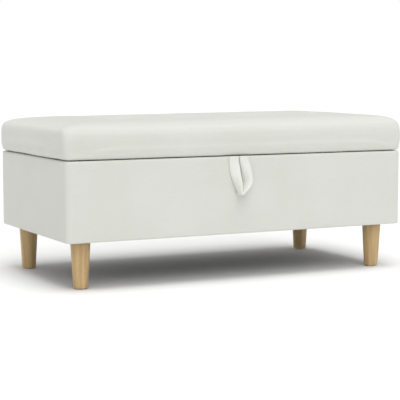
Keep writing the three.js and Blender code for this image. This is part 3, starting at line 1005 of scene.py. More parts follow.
@dataclass
class SeatCushion:
    """The thick padded seat: cover and foam, drawn down by eight covered buttons."""

    bench: Bench
    voxel: float = 6.0
    slack: float = 2.0
    pressure: float = 4.0
    frames: int = 20
    most_move: float = 2.5
    button: float = 25.0
    button_height: float = 7.0
    tuft_depth: float = 10.5
    tuft_width: float = 21.0
    lean: float = 3.0
    corner_drop: float = 1.1
    crown_from: float = 415.0
    crown_rise: float = 12.0

    def tufts(self) -> np.ndarray:
        """Finds the buttons' places in the frame, in millimetres.

        Returns:
            (8, 2) places.
        """
        places = []
        for i in range(1, 9):
            low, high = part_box(f"lid_button_{i}")
            places.append([(low.x + high.x) / 2 / MM, (low.y + high.y) / 2 / MM])
        return np.array(places)

    def profile(self) -> list[tuple[float, float, float, float]]:
        """Half-section of the cushion, from the seam to the middle of the crown.

        Returns:
            Rows of height, overhang at the ends, overhang front and back, and corner radius.
        """
        base, top = self.bench.lid_bottom, self.bench.lid_top
        return [
            (base, -6, -7, 12), (base + 1.5, -2.5, -4, 16), (base + 5, 0, -1.8, 18),
            (base + 10, 2.6, 0.2, 20), (348, 5, 2.0, 22), (355, 7.2, 3.6, 24), (362, 8.6, 4.8, 25),
            (371, 9.5, 5.7, 26), (380, 9.8, 6, 27), (388, 9.8, 5.7, 28), (395, 9.6, 4.8, 29),
            (400, 9.3, 3.7, 29), (404, 8.8, 2.3, 30), (408, 7.9, 0.5, 30), (411, 6.7, -1.4, 30),
            (414, 4.7, -4.2, 30), (416.5, 2, -7.6, 30), (418.5, -1.6, -11.6, 29),
            (420.5, -7, -16.8, 29), (422.5, -17, -25, 28), (425.5, -40, -42, 28),
            (428.5, -78, -78, 25), (431.5, -140, -132, 22), (433.4, -208, -190, 18),
            (top, -250, -225, 14),
        ]

    def on_crown(self, points: np.ndarray) -> np.ndarray:
        """Share from 0 to 1 by which points lie on the seat's crown, where the tufts are."""
        return np.clip((points[:, 2] - self.crown_from) / self.crown_rise, 0, 1)

    def form(self, shrink: float = 0.0) -> Shape:
        """Makes the closed form of the cushion.

        Args:
            shrink: How far its skin is drawn in, in millimetres.

        Returns:
            The closed form.
        """
        outline = Outline(60, 30, 10)
        rings = []
        for z, over_x, over_y, radius in self.profile():
            inset = shrink * min(max((z - self.bench.lid_bottom - 5) / 25, 0), 1)
            plan = outline.points(
                self.bench.half_length + over_x - inset,
                self.bench.half_depth + over_y - inset,
                max(radius - inset, 4),
            )
            height = z - shrink * min(max((z - 380) / 40, 0), 1)
            height = height + self.leaning(plan[:, 0]) * min(max((z - 395) / 30, 0), 1)
            rings.append(np.c_[plan[:, 0], plan[:, 1] + self.bench.centre_y, height])
        return skin(rings)

    def leaning(self, x: np.ndarray) -> np.ndarray:
        """How much fuller the foam stands towards the right end, in millimetres."""
        return self.lean * x / self.bench.half_length

    def dish(self, points: np.ndarray) -> np.ndarray:
        """How far the tufts draw down the top, in millimetres.

        Args:
            points: (n, 3) points.

        Returns:
            How far each lies below the untufted top.
        """
        drop = np.zeros(len(points))
        for place in self.tufts():
            distance = np.linalg.norm(points[:, :2] - place, axis=1)
            well = np.exp(-((distance / self.tuft_width) ** 2))
            skirt = 0.25 * np.exp(-((distance / (2.4 * self.tuft_width)) ** 2))
            drop = np.maximum(drop, self.tuft_depth * (0.8 * well + skirt))
        return drop

    def build(self) -> bpy.types.Object:
        """Builds, inflates and details the cushion.

        Returns:
            The cushion.
        """
        obj = self.form(self.slack).to_object("seat_cushion", UPHOLSTERY)
        remesh = obj.modifiers.new("voxels", "REMESH")
        remesh.mode = "VOXEL"
        remesh.voxel_size = self.voxel * MM
        bake_modifiers(obj)
        points = points_of(obj)
        points[:, 2] -= self.dish(points) * self.on_crown(points)
        move_points(obj, points)
        self.inflate(obj, points)
        refine = obj.modifiers.new("refine", "SUBSURF")
        refine.levels = refine.render_levels = 1
        bake_modifiers(obj)
        self.crease(obj)
        smooth(obj, 180)
        if not obj.data.materials:
            obj.data.materials.append(material_of(UPHOLSTERY))
        settle(obj, Body.LID.value, Slot.FABRIC, "lid_cover", "lid_foam")
        return obj

    def inflate(self, obj: bpy.types.Object, start: np.ndarray) -> None:
        """Blows the cover up from inside like cloth, held at its lower edge and at the buttons.

        Args:
            obj: Cushion mesh.
            start: Its points before, in millimetres, which cap how far each may move.
        """
        near = np.min([np.linalg.norm(start[:, :2] - t, axis=1) for t in self.tufts()], axis=0)
        held = (start[:, 2] < self.bench.lid_bottom + 9) | ((near < 12) & (start[:, 2] > self.crown_from))
        group = obj.vertex_groups.new(name="held")
        group.add(np.nonzero(held)[0].tolist(), 1.0, "REPLACE")
        cloth = obj.modifiers.new("cloth", "CLOTH")
        cloth.settings.quality = 5
        cloth.settings.mass = 0.3
        cloth.settings.tension_stiffness = 15
        cloth.settings.compression_stiffness = 15
        cloth.settings.shear_stiffness = 8
        cloth.settings.bending_stiffness = 1.5
        cloth.settings.use_pressure = True
        cloth.settings.uniform_pressure_force = self.pressure
        cloth.settings.vertex_group_mass = "held"
        cloth.settings.effector_weights.gravity = 0
        cloth.point_cache.frame_start = 1
        cloth.point_cache.frame_end = self.frames
        scene = bpy.context.scene
        for step in range(1, self.frames + 1):
            scene.frame_set(step)
        bake_modifiers(obj)
        scene.frame_set(1)
        move = self.evened(obj, points_of(obj) - start, 8)
        length = np.linalg.norm(move, axis=1, keepdims=True)
        log.info("cloth moved the seat by up to %.1f mm", length.max())
        move_points(obj, start + move * np.minimum(1, self.most_move / np.maximum(length, 1e-6)))
        obj.vertex_groups.clear()

    @staticmethod
    def evened(obj: bpy.types.Object, move: np.ndarray, rounds: int) -> np.ndarray:
        """Evens out moves over the mesh, so that the taut cover keeps no stray folds.

        Args:
            obj: Mesh that the moves belong to.
            move: One move per vertex.
            rounds: How often each is averaged with its neighbours.

        Returns:
            The evened moves.
        """
        ends = np.empty(len(obj.data.edges) * 2, int)
        obj.data.edges.foreach_get("vertices", ends)
        a, b = ends.reshape(-1, 2).T
        count = 1.0 + np.bincount(a, minlength=len(move)) + np.bincount(b, minlength=len(move))
        for _ in range(rounds):
            total = move.copy()
            for axis in range(3):
                total[:, axis] += np.bincount(a, move[b, axis], len(move))
                total[:, axis] += np.bincount(b, move[a, axis], len(move))
            move = total / count[:, None]
        return move

    def crease(self, obj: bpy.types.Object) -> None:
        """Adds what stretched cloth shows: pulls at the tufts and small puckers above the seam.

        Args:
            obj: Cushion mesh.
        """
        points = points_of(obj)
        normals = np.empty(len(points) * 3)
        obj.data.vertices.foreach_get("normal", normals)
        normals = normals.reshape(-1, 3)
        lift = 0.7 * wobble(points, 95, 3.0)
        top = self.on_crown(points)
        for i, place in enumerate(self.tufts()):
            away = points[:, :2] - place
            distance = np.linalg.norm(away, axis=1)
            angle = np.arctan2(away[:, 1], away[:, 0])
            reach = np.clip(distance / 12 - 0.8, 0, 1) * np.exp(-((distance / 46) ** 2))
            lift += top * reach * 0.9 * (np.cos(7 * angle + i) + 0.5 * np.cos(12 * angle + 2.3 * i))
        rise = points[:, 2] - self.bench.lid_bottom
        band = np.exp(-(((rise - 13) / 9) ** 2)) * (normals[:, 2] > -0.7)
        stretched = points * np.array([1.0, 1.0, 3.2])
        lift += band * 0.9 * wobble(stretched, 26, 11.0)
        across = self.bench.half_length - np.abs(points[:, 0])
        deep = self.bench.half_depth - np.abs(points[:, 1] - self.bench.centre_y)
        corner = np.exp(-((np.maximum(across, 0) + np.maximum(deep, 0)) / 22) ** 2)
        corner *= np.clip(1 - rise / 14, 0, 1)
        points[:, 2] -= self.corner_drop * corner
        lift += 2.5 * corner * (np.abs(normals[:, 2]) < 0.8)
        move_points(obj, points + normals * lift[:, None])

    def buttons(self) -> bpy.types.Object:
        """Sets the covered buttons in their tufts.

        Returns:
            The buttons, as one piece.
        """
        spread, tree = covered_buttons(self.button, self.button_height)
        crown = self.bench.lid_top - 0.6
        places = self.tufts()
        z = crown + self.leaning(places[:, 0]) - self.tuft_depth + self.button_height / 2 - 0.3
        obj = spread.apply(tree, "seat_buttons", np.c_[places, z], [], UPHOLSTERY)
        smooth(obj, 180)
        names = [f"lid_button_{i}" for i in range(1, 9)]
        return settle(obj, Body.LID.value, Slot.FABRIC, *names)


# ------------------------------------------------------------------ box


@dataclass
class BoxCover:
    """The padded sleeve of upholstery round the box, from its lower edge over the rim."""

    bench: Bench
    pad: float = 6.0
    wrap: float = 3.0
    corner: float = 16.0
    rim_width: float = 23.6
    hem_width: float = 20.6
    inside_depth: float = 32.0
    edge: float = 4.5
    wall_steps: int = 42
    pillow: float = 1.3
    rim_pucker: float = 0.9
    hem_pucker: float = 0.35

    def section(self) -> list[tuple[float, float, float]]:
        """Closed section of the sleeve, up the outside and back down inside.

        Returns:
            Rows of inset, height and corner radius.
        """
        low, high, edge = self.bench.box_bottom, self.bench.box_top, self.edge
        turn = [math.radians(angle) for angle in (12, 30, 50, 70, 90)]
        rounded = [(edge - edge * math.cos(a), edge - edge * math.sin(a)) for a in turn]
        rows = [(self.hem_width, low, 0.5), (12.0, low, 6.0)]
        rows += [(inset, low + rise, self.corner - inset) for inset, rise in reversed(rounded)]
        wall = np.linspace(low + edge, high - edge, self.wall_steps)
        rows += [(0.0, z, self.corner) for z in wall]
        rows += [(inset, high - rise, self.corner - inset) for inset, rise in rounded]
        rows += [
            (14.0, high + 0.2, 3.0), (self.rim_width - 1.2, high, 0.8), (self.rim_width, high - 1.2, 0.5),
            (self.rim_width, high - self.inside_depth + 1, 0.5),
            (self.rim_width - 1, high - self.inside_depth, 0.5),
            (self.rim_width - 2, high - self.inside_depth, 0.5),
            (self.rim_width - 2, high - self.wrap, 0.5),
            (self.pad, high - self.wrap, 0.4), (self.pad, low + self.wrap, 0.4),
            (self.hem_width, low + self.wrap, 0.5),
        ]
        return rows

    def build(self) -> bpy.types.Object:
        """Builds the sleeve with its slight fullness and creases.

        Returns:
            The sleeve.
        """
        bench = self.bench
        outline = Outline(140, 70, 8)
        rings = []
        for inset, z, radius in self.section():
            plan = outline.points(bench.half_length - inset, bench.half_depth - inset, radius)
            rings.append(np.c_[plan[:, 0], plan[:, 1] + bench.centre_y, np.full(len(plan), z)])
        shape = skin(rings, closed=True)
        points = shape.vertices
        middle = np.array([0, bench.centre_y])
        from_side = bench.half_length - np.abs(points[:, 0])
        from_front = bench.half_depth - np.abs(points[:, 1] - middle[1])
        outside = np.minimum(from_side, from_front) < 1.5
        along = np.where(from_side < from_front, from_front, from_side)
        rise = (points[:, 2] - bench.box_bottom) / (bench.box_top - bench.box_bottom)
        full = np.clip(4 * rise * (1 - rise), 0, 1) ** 0.5 * np.clip(along / 60, 0, 1)
        lift = self.pillow * full + 0.5 * wobble(points, 120, 5.0) * full
        below_rim = bench.box_top - points[:, 2]
        flat = points * np.array([1.0, 1.0, 4.0])
        pucker = np.exp(-(((below_rim - 15) / 10) ** 2))
        strength = 0.35 + 0.75 * np.exp(-((along - 55) / 60) ** 2)
        lift += self.rim_pucker * pucker * strength * wobble(flat, 38, 9.0)
        hem = np.exp(-(((points[:, 2] - bench.box_bottom - 12) / 9) ** 2))
        lift += self.hem_pucker * hem * wobble(flat, 44, 21.0)
        push = np.zeros_like(points)
        push[:, 0] = np.where(from_side <= from_front, np.sign(points[:, 0]), 0)
        push[:, 1] = np.where(from_side > from_front, np.sign(points[:, 1] - middle[1]), 0)
        near_corner = np.clip(along / 20, 0, 1)
        shape.vertices = points + push * (lift * outside * near_corner)[:, None]
        obj = shape.to_object("box_cover", UPHOLSTERY, 60)
        settle(obj, Body.BOX.value, Slot.FABRIC, "box_upholstery")
        return obj

    def rim_stitches(self) -> bpy.types.Object:
        """Sews the folded cover to the lining inside the rim.

        Returns:
            The stitches, as one piece.
        """
        bench = self.bench
        inset = self.rim_width + 0.1
        outline = Outline(40, 20, 3)
        plan = outline.points(bench.half_length - inset, bench.half_depth - inset, 1.0)
        z = bench.box_top - self.inside_depth + 4
        points = np.c_[plan[:, 0], plan[:, 1] + bench.centre_y, np.full(len(plan), z)]
        edges = [(i, (i + 1) % len(points)) for i in range(len(points))]
        spread, tree = run_of_threads(3.4, 0.8, 4.2)
        obj = spread.apply(tree, "rim_stitches", points, edges, THREAD)
        return settle(obj, Body.BOX.value, Slot.FABRIC)


@dataclass
class Linings:
    """Thin black felt: the tub inside the box, the sheet under the lid and the dust cover."""

    bench: Bench
    thick: float = 1.0

    def tub(self) -> bpy.types.Object:
        """Builds the box's lining, a little slack on its walls and floor.

        Returns:
            The lining.
        """
        low, high = (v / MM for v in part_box("box_lining"))
        half_x, half_y = (high.x - low.x) / 2, (high.y - low.y) / 2
        outline = Outline(90, 45, 4)
        centre_y = (high.y + low.y) / 2

        def ring(inset: float, z: float, radius: float) -> np.ndarray:
            """One level ring of the tub."""
            plan = outline.points(half_x - inset, half_y - inset, radius)
            return np.c_[plan[:, 0], plan[:, 1] + centre_y, np.full(len(plan), z)]

        floor, top = low.z + self.thick, high.z
        insets = np.array([230, 200, 170, 140, 110, 85, 60, 40, 24, 12, 5])
        rings = [ring(i, floor, 3.0) for i in insets]
        rings += [ring(1.4, floor + 2.0, 2.0)]
        rings += [ring(self.thick, z, 2.0) for z in np.linspace(floor + 8, top, 16)]
        rings += [ring(0.0, top, 2.0), ring(0.0, low.z, 2.0)]
        shape = skin(rings)
        points = shape.vertices
        inner = np.arange(len(points)) < len(points) - 2 * len(rings[0])
        wall = inner & (points[:, 2] > floor + 6)
        ground = inner & (points[:, 2] < floor + 0.5)
        points[ground, 2] += 0.9 + 0.9 * wobble(points[ground], 70, 2.0)
        slack = 0.8 + 0.8 * wobble(points * np.array([1, 1, 0.35]), 48, 7.0)
        side = half_x - np.abs(points[:, 0]) < half_y - np.abs(points[:, 1] - centre_y)
        fade = np.clip((top - points[:, 2]) / 25, 0, 1)
        points[:, 0] -= np.sign(points[:, 0]) * slack * fade * (wall & side)
        points[:, 1] -= np.sign(points[:, 1] - centre_y) * slack * fade * (wall & ~side)
        obj = shape.to_object("box_lining_felt", LINING, 50)
        return settle(obj, Body.BOX.value, Slot.NONWOVEN, "box_lining")

    def sheet(
        self, name: str, node: str, body: Body, seed: float, holes: np.ndarray, hole: float,
    ) -> bpy.types.Object:
        """A stapled sheet with faint waves.

        Args:
            name: Name of the piece.
            node: CAD node that it replaces.
            body: Body that it rides on.
            seed: Seed of its waves.
            holes: (n, 2) places that are cut out, in millimetres.
            hole: Radius of each cut-out.

        Returns:
            The finished sheet.
        """
        low, high = (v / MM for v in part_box(node))
        columns, rows = 120, 60
        xs = np.linspace(low.x, high.x, columns + 1)
        ys = np.linspace(low.y, high.y, rows + 1)
        grid = np.array([(x, y, (low.z + high.z) / 2) for y in ys for x in xs])
        edge = np.minimum.reduce([
            grid[:, 0] - low.x, high.x - grid[:, 0], grid[:, 1] - low.y, high.y - grid[:, 1],
        ])
        calm = np.clip(edge / 40, 0, 1)
        grid[:, 2] += 0.35 * calm * wobble(grid * np.array([1, 0.6, 1]), 60, seed)
        faces = []
        for j in range(rows):
            for i in range(columns):
                a = j * (columns + 1) + i
                corners = (a, a + 1, a + columns + 2, a + columns + 1)
                centre = grid[list(corners), :2].mean(axis=0)
                if len(holes) and np.linalg.norm(holes - centre, axis=1).min() < hole:
                    continue
                faces.append(corners)
        obj = Shape(grid, faces).to_object(name, LINING, 60)
        solid = obj.modifiers.new("thickness", "SOLIDIFY")
        solid.thickness = (high.z - low.z) * 0.7 * MM
        solid.offset = 0
        bake_modifiers(obj)
        settle(obj, body.value, Slot.NONWOVEN, node)
        return obj

    def staples(self, name: str, node: str, body: Body, inset: float, below: float) -> bpy.types.Object:
        """Staples along a sheet's edge, on its underside.

        Args:
            name: Name of the piece.
            node: CAD node of the sheet.
            body: Body that it rides on.
            inset: Distance from the sheet's edge.
            below: How far the wire stands below the sheet.

        Returns:
            The finished staples.
        """
        low, high = (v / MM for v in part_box(node))
        centre_y = (low.y + high.y) / 2
        plan = Outline(20, 10, 3).points(
            (high.x - low.x) / 2 - inset, (high.y - low.y) / 2 - inset, 6,
        )
        points = np.c_[plan[:, 0], plan[:, 1] + centre_y, np.full(len(plan), low.z - below)]
        edges = [(i, (i + 1) % len(points)) for i in range(len(points))]
        spread, tree = run_of_threads(10.5, 0.7, 42.0)
        obj = spread.apply(tree, name, points, edges, ZINC)
        return settle(obj, body.value, Slot.ZINC)


@dataclass
class TurnedLegs:
    """Four round tapered legs with broken edges, each on a small nylon glide."""

    bench: Bench
    corners: tuple[str, ...] = ("front_left", "front_right", "back_left", "back_right")
    foot_share: float = 19 / 26
    foot_edge: float = 2.2
    top_edge: float = 1.2
    bolt_radius: float = 4.3
    bolt_depth: float = 29.0

    def build(self) -> None:
        """Turns and dresses the legs and their glides."""
        for corner in self.corners:
            self.leg(corner)
            self.glide(corner)

    def leg(self, corner: str) -> bpy.types.Object:
        """Turns one leg, solid but for its bolt hole.

        Args:
            corner: Corner that it stands at.

        Returns:
            The leg.
        """
        low, high = (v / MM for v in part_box(f"leg_{corner}"))
        x, y = (low.x + high.x) / 2, (low.y + high.y) / 2
        top = (high.x - low.x) / 2
        foot = top * self.foot_share
        edge = self.foot_edge
        profile = [(0.0, low.z), (foot - edge, low.z)]
        profile += [
            (foot - edge + edge * math.sin(a), low.z + edge - edge * math.cos(a))
            for a in np.radians((30, 60, 90))
        ]
        z0, z1 = low.z + edge, high.z - self.top_edge
        for share in np.linspace(0, 1, 14)[1:]:
            profile.append((foot + (top - foot) * share, z0 + (z1 - z0) * share))
        profile += [(top - 0.4, high.z - 0.4), (top - self.top_edge, high.z)]
        profile += [(self.bolt_radius, high.z), (self.bolt_radius, high.z - self.bolt_depth)]
        profile += [(0.0, high.z - self.bolt_depth)]
        obj = turned(profile, 72).at(x, y, 0).to_object(f"turned_leg_{corner}", BEECH, 40)
        return settle(obj, Body.BOX.value, Slot.BEECH, f"leg_{corner}")

    def glide(self, corner: str) -> bpy.types.Object:
        """Makes the nylon disc that is nailed under one leg.

        Args:
            corner: Corner of its leg.

        Returns:
            The glide.
        """
        low, high = (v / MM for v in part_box(f"leg_glide_{corner}"))
        x, y = (low.x + high.x) / 2, (low.y + high.y) / 2
        radius = (high.x - low.x) / 2
        profile = [
            (0, 0), (radius - 1.4, 0), (radius - 0.4, 0.4), (radius, 1.3), (radius, 2.3),
            (radius - 0.2, 2.5), (1.5, 2.5), (1.5, high.z - 1), (0, high.z),
        ]
        obj = turned(profile, 40).at(x, y, 0).to_object(f"nylon_glide_{corner}", NYLON, 40)
        return settle(obj, Body.BOX.value, Slot.NYLON, f"leg_glide_{corner}")


# ------------------------------------------------------------------ hardware


@dataclass
class ButtHinge:
    """A steel butt hinge in the rear seam: two leaves that roll round one pin."""

    bench: Bench
    side: Side
    leaf_thick: float = 1.8
    barrel: float = 4.0
    pin: float = 2.0
    knuckle_gap: float = 10.0

    def knuckle(self, x0: float, x1: float) -> Shape:
        """Rolls one knuckle, with broken ends.

        Args:
            x0: Where it starts along X.
            x1: Where it ends.

        Returns:
            The knuckle, round the pin's axis.
        """
        outer, inner = self.barrel, self.pin + 0.15
        ring = [
            (inner, x0), (outer - 0.3, x0), (outer, x0 + 0.3), (outer, x1 - 0.3), (outer - 0.3, x1),
            (inner, x1), (inner, x0),
        ]
        shape = turned(ring, 40).placed(ALONG_X)
        return shape.at(0, self.bench.hinge_y, self.bench.hinge_z)

    def leaf(self, name: str, node: str, body: Body, knuckles: Sequence[tuple[float, float]]) -> None:
        """One leaf: a plate, the strips that run to the knuckles, and three screws.

        Args:
            name: Name of the piece.
            node: CAD node that it replaces.
            body: Body that it rides on.
            knuckles: From and to of each knuckle, along X from the leaf's middle.
        """
        low, high = (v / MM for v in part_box(node))
        x = (low.x + high.x) / 2
        up = body is Body.LID
        z0 = self.bench.hinge_z + (0.35 if up else -0.35 - self.leaf_thick)
        plate_end = self.bench.hinge_y - self.barrel - 0.4
        depth = plate_end - low.y
        base = plate(high.x - low.x, depth, self.leaf_thick, 3.0).at(x, low.y + depth / 2, z0)
        obj = base.to_object(name, ZINC)
        tools = []
        for start, end in knuckles:
            strip = plate(end - start, self.barrel + 2.6, self.leaf_thick, 0.6, 0.2)
            strip = strip.at(x + (start + end) / 2, plate_end + self.barrel / 2 - 0.6, z0)
            tools.append(strip.to_object("strip", ZINC))
            tools.append(self.knuckle(x + start, x + end).to_object("knuckle", ZINC))
        combine(obj, tools, Operation.JOIN)
        bore = turned([(0, -40), (self.pin + 0.15, -40), (self.pin + 0.15, 40), (0, 40)], 40)
        bore = bore.placed(ALONG_X).at(x, self.bench.hinge_y, self.bench.hinge_z)
        combine(obj, [bore.to_object("bore", ZINC)], Operation.CUT)
        smooth(obj)
        settle(obj, body.value, Slot.ZINC, node)
        spread, tree = screw_heads(6.0, 0.9)
        direction = -1.0 if up else 1.0
        face = z0 if up else z0 + self.leaf_thick
        middle = low.y + depth / 2
        places = np.array([(x + dx, middle + dy, face) for dx, dy in ((-20, 2), (0, -4), (20, 2))])
        screws = spread.apply(tree, f"{name}_screws", places, [], ZINC, np.array([[0, 0, direction]] * 3))
        settle(screws, body.value, Slot.ZINC)

    def build(self) -> None:
        """Builds both leaves and the pin."""
        label = self.side.label
        low, high = (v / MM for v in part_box(f"hinge_box_leaf_{label}"))
        half, gap = (high.x - low.x) / 2, self.knuckle_gap
        box_knuckles = ((-half, -gap - 0.2), (gap + 0.2, half))
        self.leaf(f"hinge_leaf_box_{label}", f"hinge_box_leaf_{label}", Body.BOX, box_knuckles)
        lid_knuckles = ((-gap + 0.2, gap - 0.2),)
        self.leaf(f"hinge_leaf_lid_{label}", f"hinge_lid_leaf_{label}", Body.LID, lid_knuckles)
        x = (low.x + high.x) / 2
        end = half + 0.3
        profile = [(0.0, -end - 1.5), (2.4, -end - 1.4), (3.3, -end - 0.7), (3.4, -end)]
        profile += [(self.pin, -end), (self.pin, end), (3.4, end), (3.3, end + 0.7)]
        profile += [(2.4, end + 1.4), (0.0, end + 1.5)]
        pin = turned(profile, 32).placed(ALONG_X).at(x, self.bench.hinge_y, self.bench.hinge_z)
        obj = pin.to_object(f"hinge_rivet_{label}", ZINC)
        settle(obj, Body.BOX.value, Slot.ZINC, f"hinge_pin_{label}")


@dataclass
class GasStrut:
    """One gas strut with its two brackets: cylinder on the lid, piston rod on the box."""

    bench: Bench
    side: Side
    radius: float = 7.5
    bore: float = 6.2
    start: float = 12.0
    end: float = 146.0
    rod: float = 3.0
    eye_radius: float = 8.0
    eye_hole: float = 4.3
    eye_width: float = 10.0
    stud: float = 4.0
    plate_thick: float = 2.0
    plate_corner: float = 4.0
    screw_inset: float = 5.5
    ear_out: float = 12.0
    ear_in: float = 22.0

    def pivot(self, part: str) -> Vector:
        """Pivot of the strut's cylinder or rod, in millimetres, from the joints."""
        name = f"strut_{part}_{self.side.label}_pivot"
        return Vector(next(j for j in frame["joints"] if j["name"] == name)["pos_m"]) / MM

    @staticmethod
    def aim(origin: Vector, target: Vector) -> Matrix:
        """Matrix that stands +Z at a pivot and points it at the other, keeping X."""
        tilt = math.atan2(-(target.y - origin.y), target.z - origin.z)
        return Matrix.Translation(origin) @ Matrix.Rotation(tilt, 4, "X")

    def eye(self) -> Shape:
        """Makes the moulded eye, about X at the origin.

        Returns:
            The eye.
        """
        half, outer, inner = self.eye_width / 2, self.eye_radius, self.eye_hole
        ring = [
            (inner, -half), (outer - 1, -half), (outer, -half + 1), (outer, half - 1),
            (outer - 1, half), (inner, half), (inner, -half),
        ]
        return turned(ring, 48).placed(ALONG_X)

    def assembled(self, name: str, shapes: Sequence[Shape], matrix: Matrix, finish: Any) -> Any:
        """Joins a strut's parts into one object and opens its eye.

        Args:
            name: Name of the piece.
            shapes: Its parts, drawn at the origin.
            matrix: Where they go.
            finish: Finish that they wear.

        Returns:
            The joined object.
        """
        first, *others = [shape.placed(matrix) for shape in shapes]
        obj = first.to_object(name, finish)
        combine(obj, [shape.to_object("part", finish) for shape in others], Operation.JOIN)
        hole = turned([(0, -9), (self.eye_hole, -9), (self.eye_hole, 9), (0, 9)], 48)
        hole = hole.placed(matrix @ ALONG_X).to_object("hole", finish)
        combine(obj, [hole], Operation.CUT)
        smooth(obj)
        return obj

    def cylinder(self) -> None:
        """The enamelled pressure tube, open at its gland end, with a crimped groove."""
        r, start, end = self.radius, self.start, self.end
        outside = [
            (0, start - 6), (4.4, start - 6), (4.4, start + 1), (r - 1.6, start + 1),
            (r - 0.5, start + 1.6), (r, start + 3), (r, end - 13), (r - 0.7, end - 12),
            (r - 0.7, end - 10.5), (r, end - 9.5), (r, end - 2), (r - 0.6, end - 0.6), (r - 1.8, end),
        ]
        inside = [(3.6, end), (3.6, end - 5), (self.bore, end - 5), (self.bore, start + 4), (0, start + 4)]
        tube = turned(outside + inside, 48)
        matrix = self.aim(self.pivot("cylinder"), self.pivot("rod"))
        label = self.side.label
        obj = self.assembled(f"gas_cylinder_{label}", [tube, self.eye()], matrix, ENAMEL)
        settle(obj, f"strut_cylinder_{label}", Slot.PAINTED, f"strut_cylinder_{label}")

    def piston(self) -> None:
        """The chromed rod with its piston and eye."""
        label = self.side.label
        low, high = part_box(f"strut_rod_{label}")
        origin, target = self.pivot("rod"), self.pivot("cylinder")
        corner = Vector((0, (high.y if target.y > origin.y else low.y) / MM, high.z / MM))
        reach = (corner - Vector((0, origin.y, origin.z))).length
        tip = reach - self.rod * 0.9
        profile = [
            (0, 4), (4.4, 5), (4.4, 13), (self.rod, 14.5), (self.rod, tip - 5.5), (5.5, tip - 5.3),
            (5.5, tip - 0.4), (5.0, tip), (0, tip),
        ]
        matrix = self.aim(origin, target)
        stem = turned(profile, 40)
        obj = self.assembled(f"piston_rod_{label}", [stem, self.eye()], matrix, CHROME)
        settle(obj, f"strut_rod_{label}", Slot.CHROME, f"strut_rod_{label}")

    def stud_shape(self, base: float, pivot: Vector) -> Shape:
        """Makes the riveted stud that an eye turns on.

        Args:
            base: Distance of the stud's foot from the middle of the bench.
            pivot: Pivot that it stands at.

        Returns:
            The stud.
        """
        sign = self.side.value
        head = abs(pivot.x) - self.eye_width / 2 - 0.4
        profile = [
            (0, head - 2.4), (4.6, head - 2.3), (5.7, head - 1.5), (6, head - 0.6), (5.8, head),
            (self.stud, head), (self.stud, base), (0, base),
        ]
        turn = ALONG_X if sign > 0 else Matrix.Rotation(-math.pi / 2, 4, "Y")
        return turned(profile, 36).placed(turn).at(0, pivot.y, pivot.z)

    def box_bracket(self) -> None:
        """The plate on the box's end, with the rod's stud and four screws."""
        label, sign, thick = self.side.label, self.side.value, self.plate_thick
        low, high = (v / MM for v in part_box(f"strut_box_bracket_{label}"))
        outer = max(abs(low.x), abs(high.x))
        y, z = (low.y + high.y) / 2, (low.z + high.z) / 2
        flat = plate(high.z - low.z, high.y - low.y, thick, self.plate_corner).placed(ALONG_X)
        flat = flat.at(outer - thick if sign > 0 else -outer, y, z)
        obj = flat.to_object(f"box_bracket_{label}", ZINC)
        stud = self.stud_shape(outer - 1, self.pivot("rod"))
        combine(obj, [stud.to_object("stud", ZINC)], Operation.JOIN)
        smooth(obj)
        settle(obj, Body.BOX.value, Slot.ZINC, f"strut_box_bracket_{label}")
        inset = self.screw_inset
        places = np.array([
            (sign * (outer - thick), a, b)
            for a in (low.y + inset, high.y - inset) for b in (low.z + inset, high.z - inset)
        ])
        spread, tree = screw_heads(6.5, 1.4)
        facing = np.array([[-sign, 0.0, 0.0]] * 4)
        screws = spread.apply(tree, f"box_bracket_screws_{label}", places, [], ZINC, facing)
        settle(screws, Body.BOX.value, Slot.ZINC)

    def lid_bracket(self) -> None:
        """The angle under the lid, with the cylinder's stud and three screws."""
        label, sign, thick = self.side.label, self.side.value, self.plate_thick
        low, high = (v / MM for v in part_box(f"strut_lid_bracket_{label}"))
        pivot = self.pivot("cylinder")
        ear = abs(pivot.x) + self.ear_out
        width = ear - (abs(pivot.x) - self.ear_in)
        top = plate(width, high.y - low.y, thick, self.plate_corner)
        top = top.at(sign * (ear - width / 2), (low.y + high.y) / 2, high.z - thick)
        obj = top.to_object(f"lid_bracket_{label}", ZINC)
        drop = high.z - (pivot.z - 9)
        lug = plate(drop, 18, thick, 0.8).placed(ALONG_X)
        lug = lug.at(ear - thick if sign > 0 else -ear, pivot.y, high.z - drop / 2)
        stud = self.stud_shape(ear - 1, pivot)
        combine(obj, [lug.to_object("lug", ZINC), stud.to_object("stud", ZINC)], Operation.JOIN)
        smooth(obj)
        settle(obj, Body.LID.value, Slot.ZINC, f"strut_lid_bracket_{label}")
        places = np.array([
            (sign * (ear - width + 7), (low.y + high.y) / 2 + dy, high.z - thick) for dy in (-15, 0, 15)
        ])
        spread, tree = screw_heads(6.5, 1.4)
        facing = np.array([[0.0, 0.0, -1.0]] * 3)
        screws = spread.apply(tree, f"lid_bracket_screws_{label}", places, [], ZINC, facing)
        settle(screws, Body.LID.value, Slot.ZINC)

    def build(self) -> None:
        """Builds the strut and its brackets."""
        self.cylinder()
        self.piston()
        self.box_bracket()
        self.lid_bracket()


# ------------------------------------------------------------------ pull loop


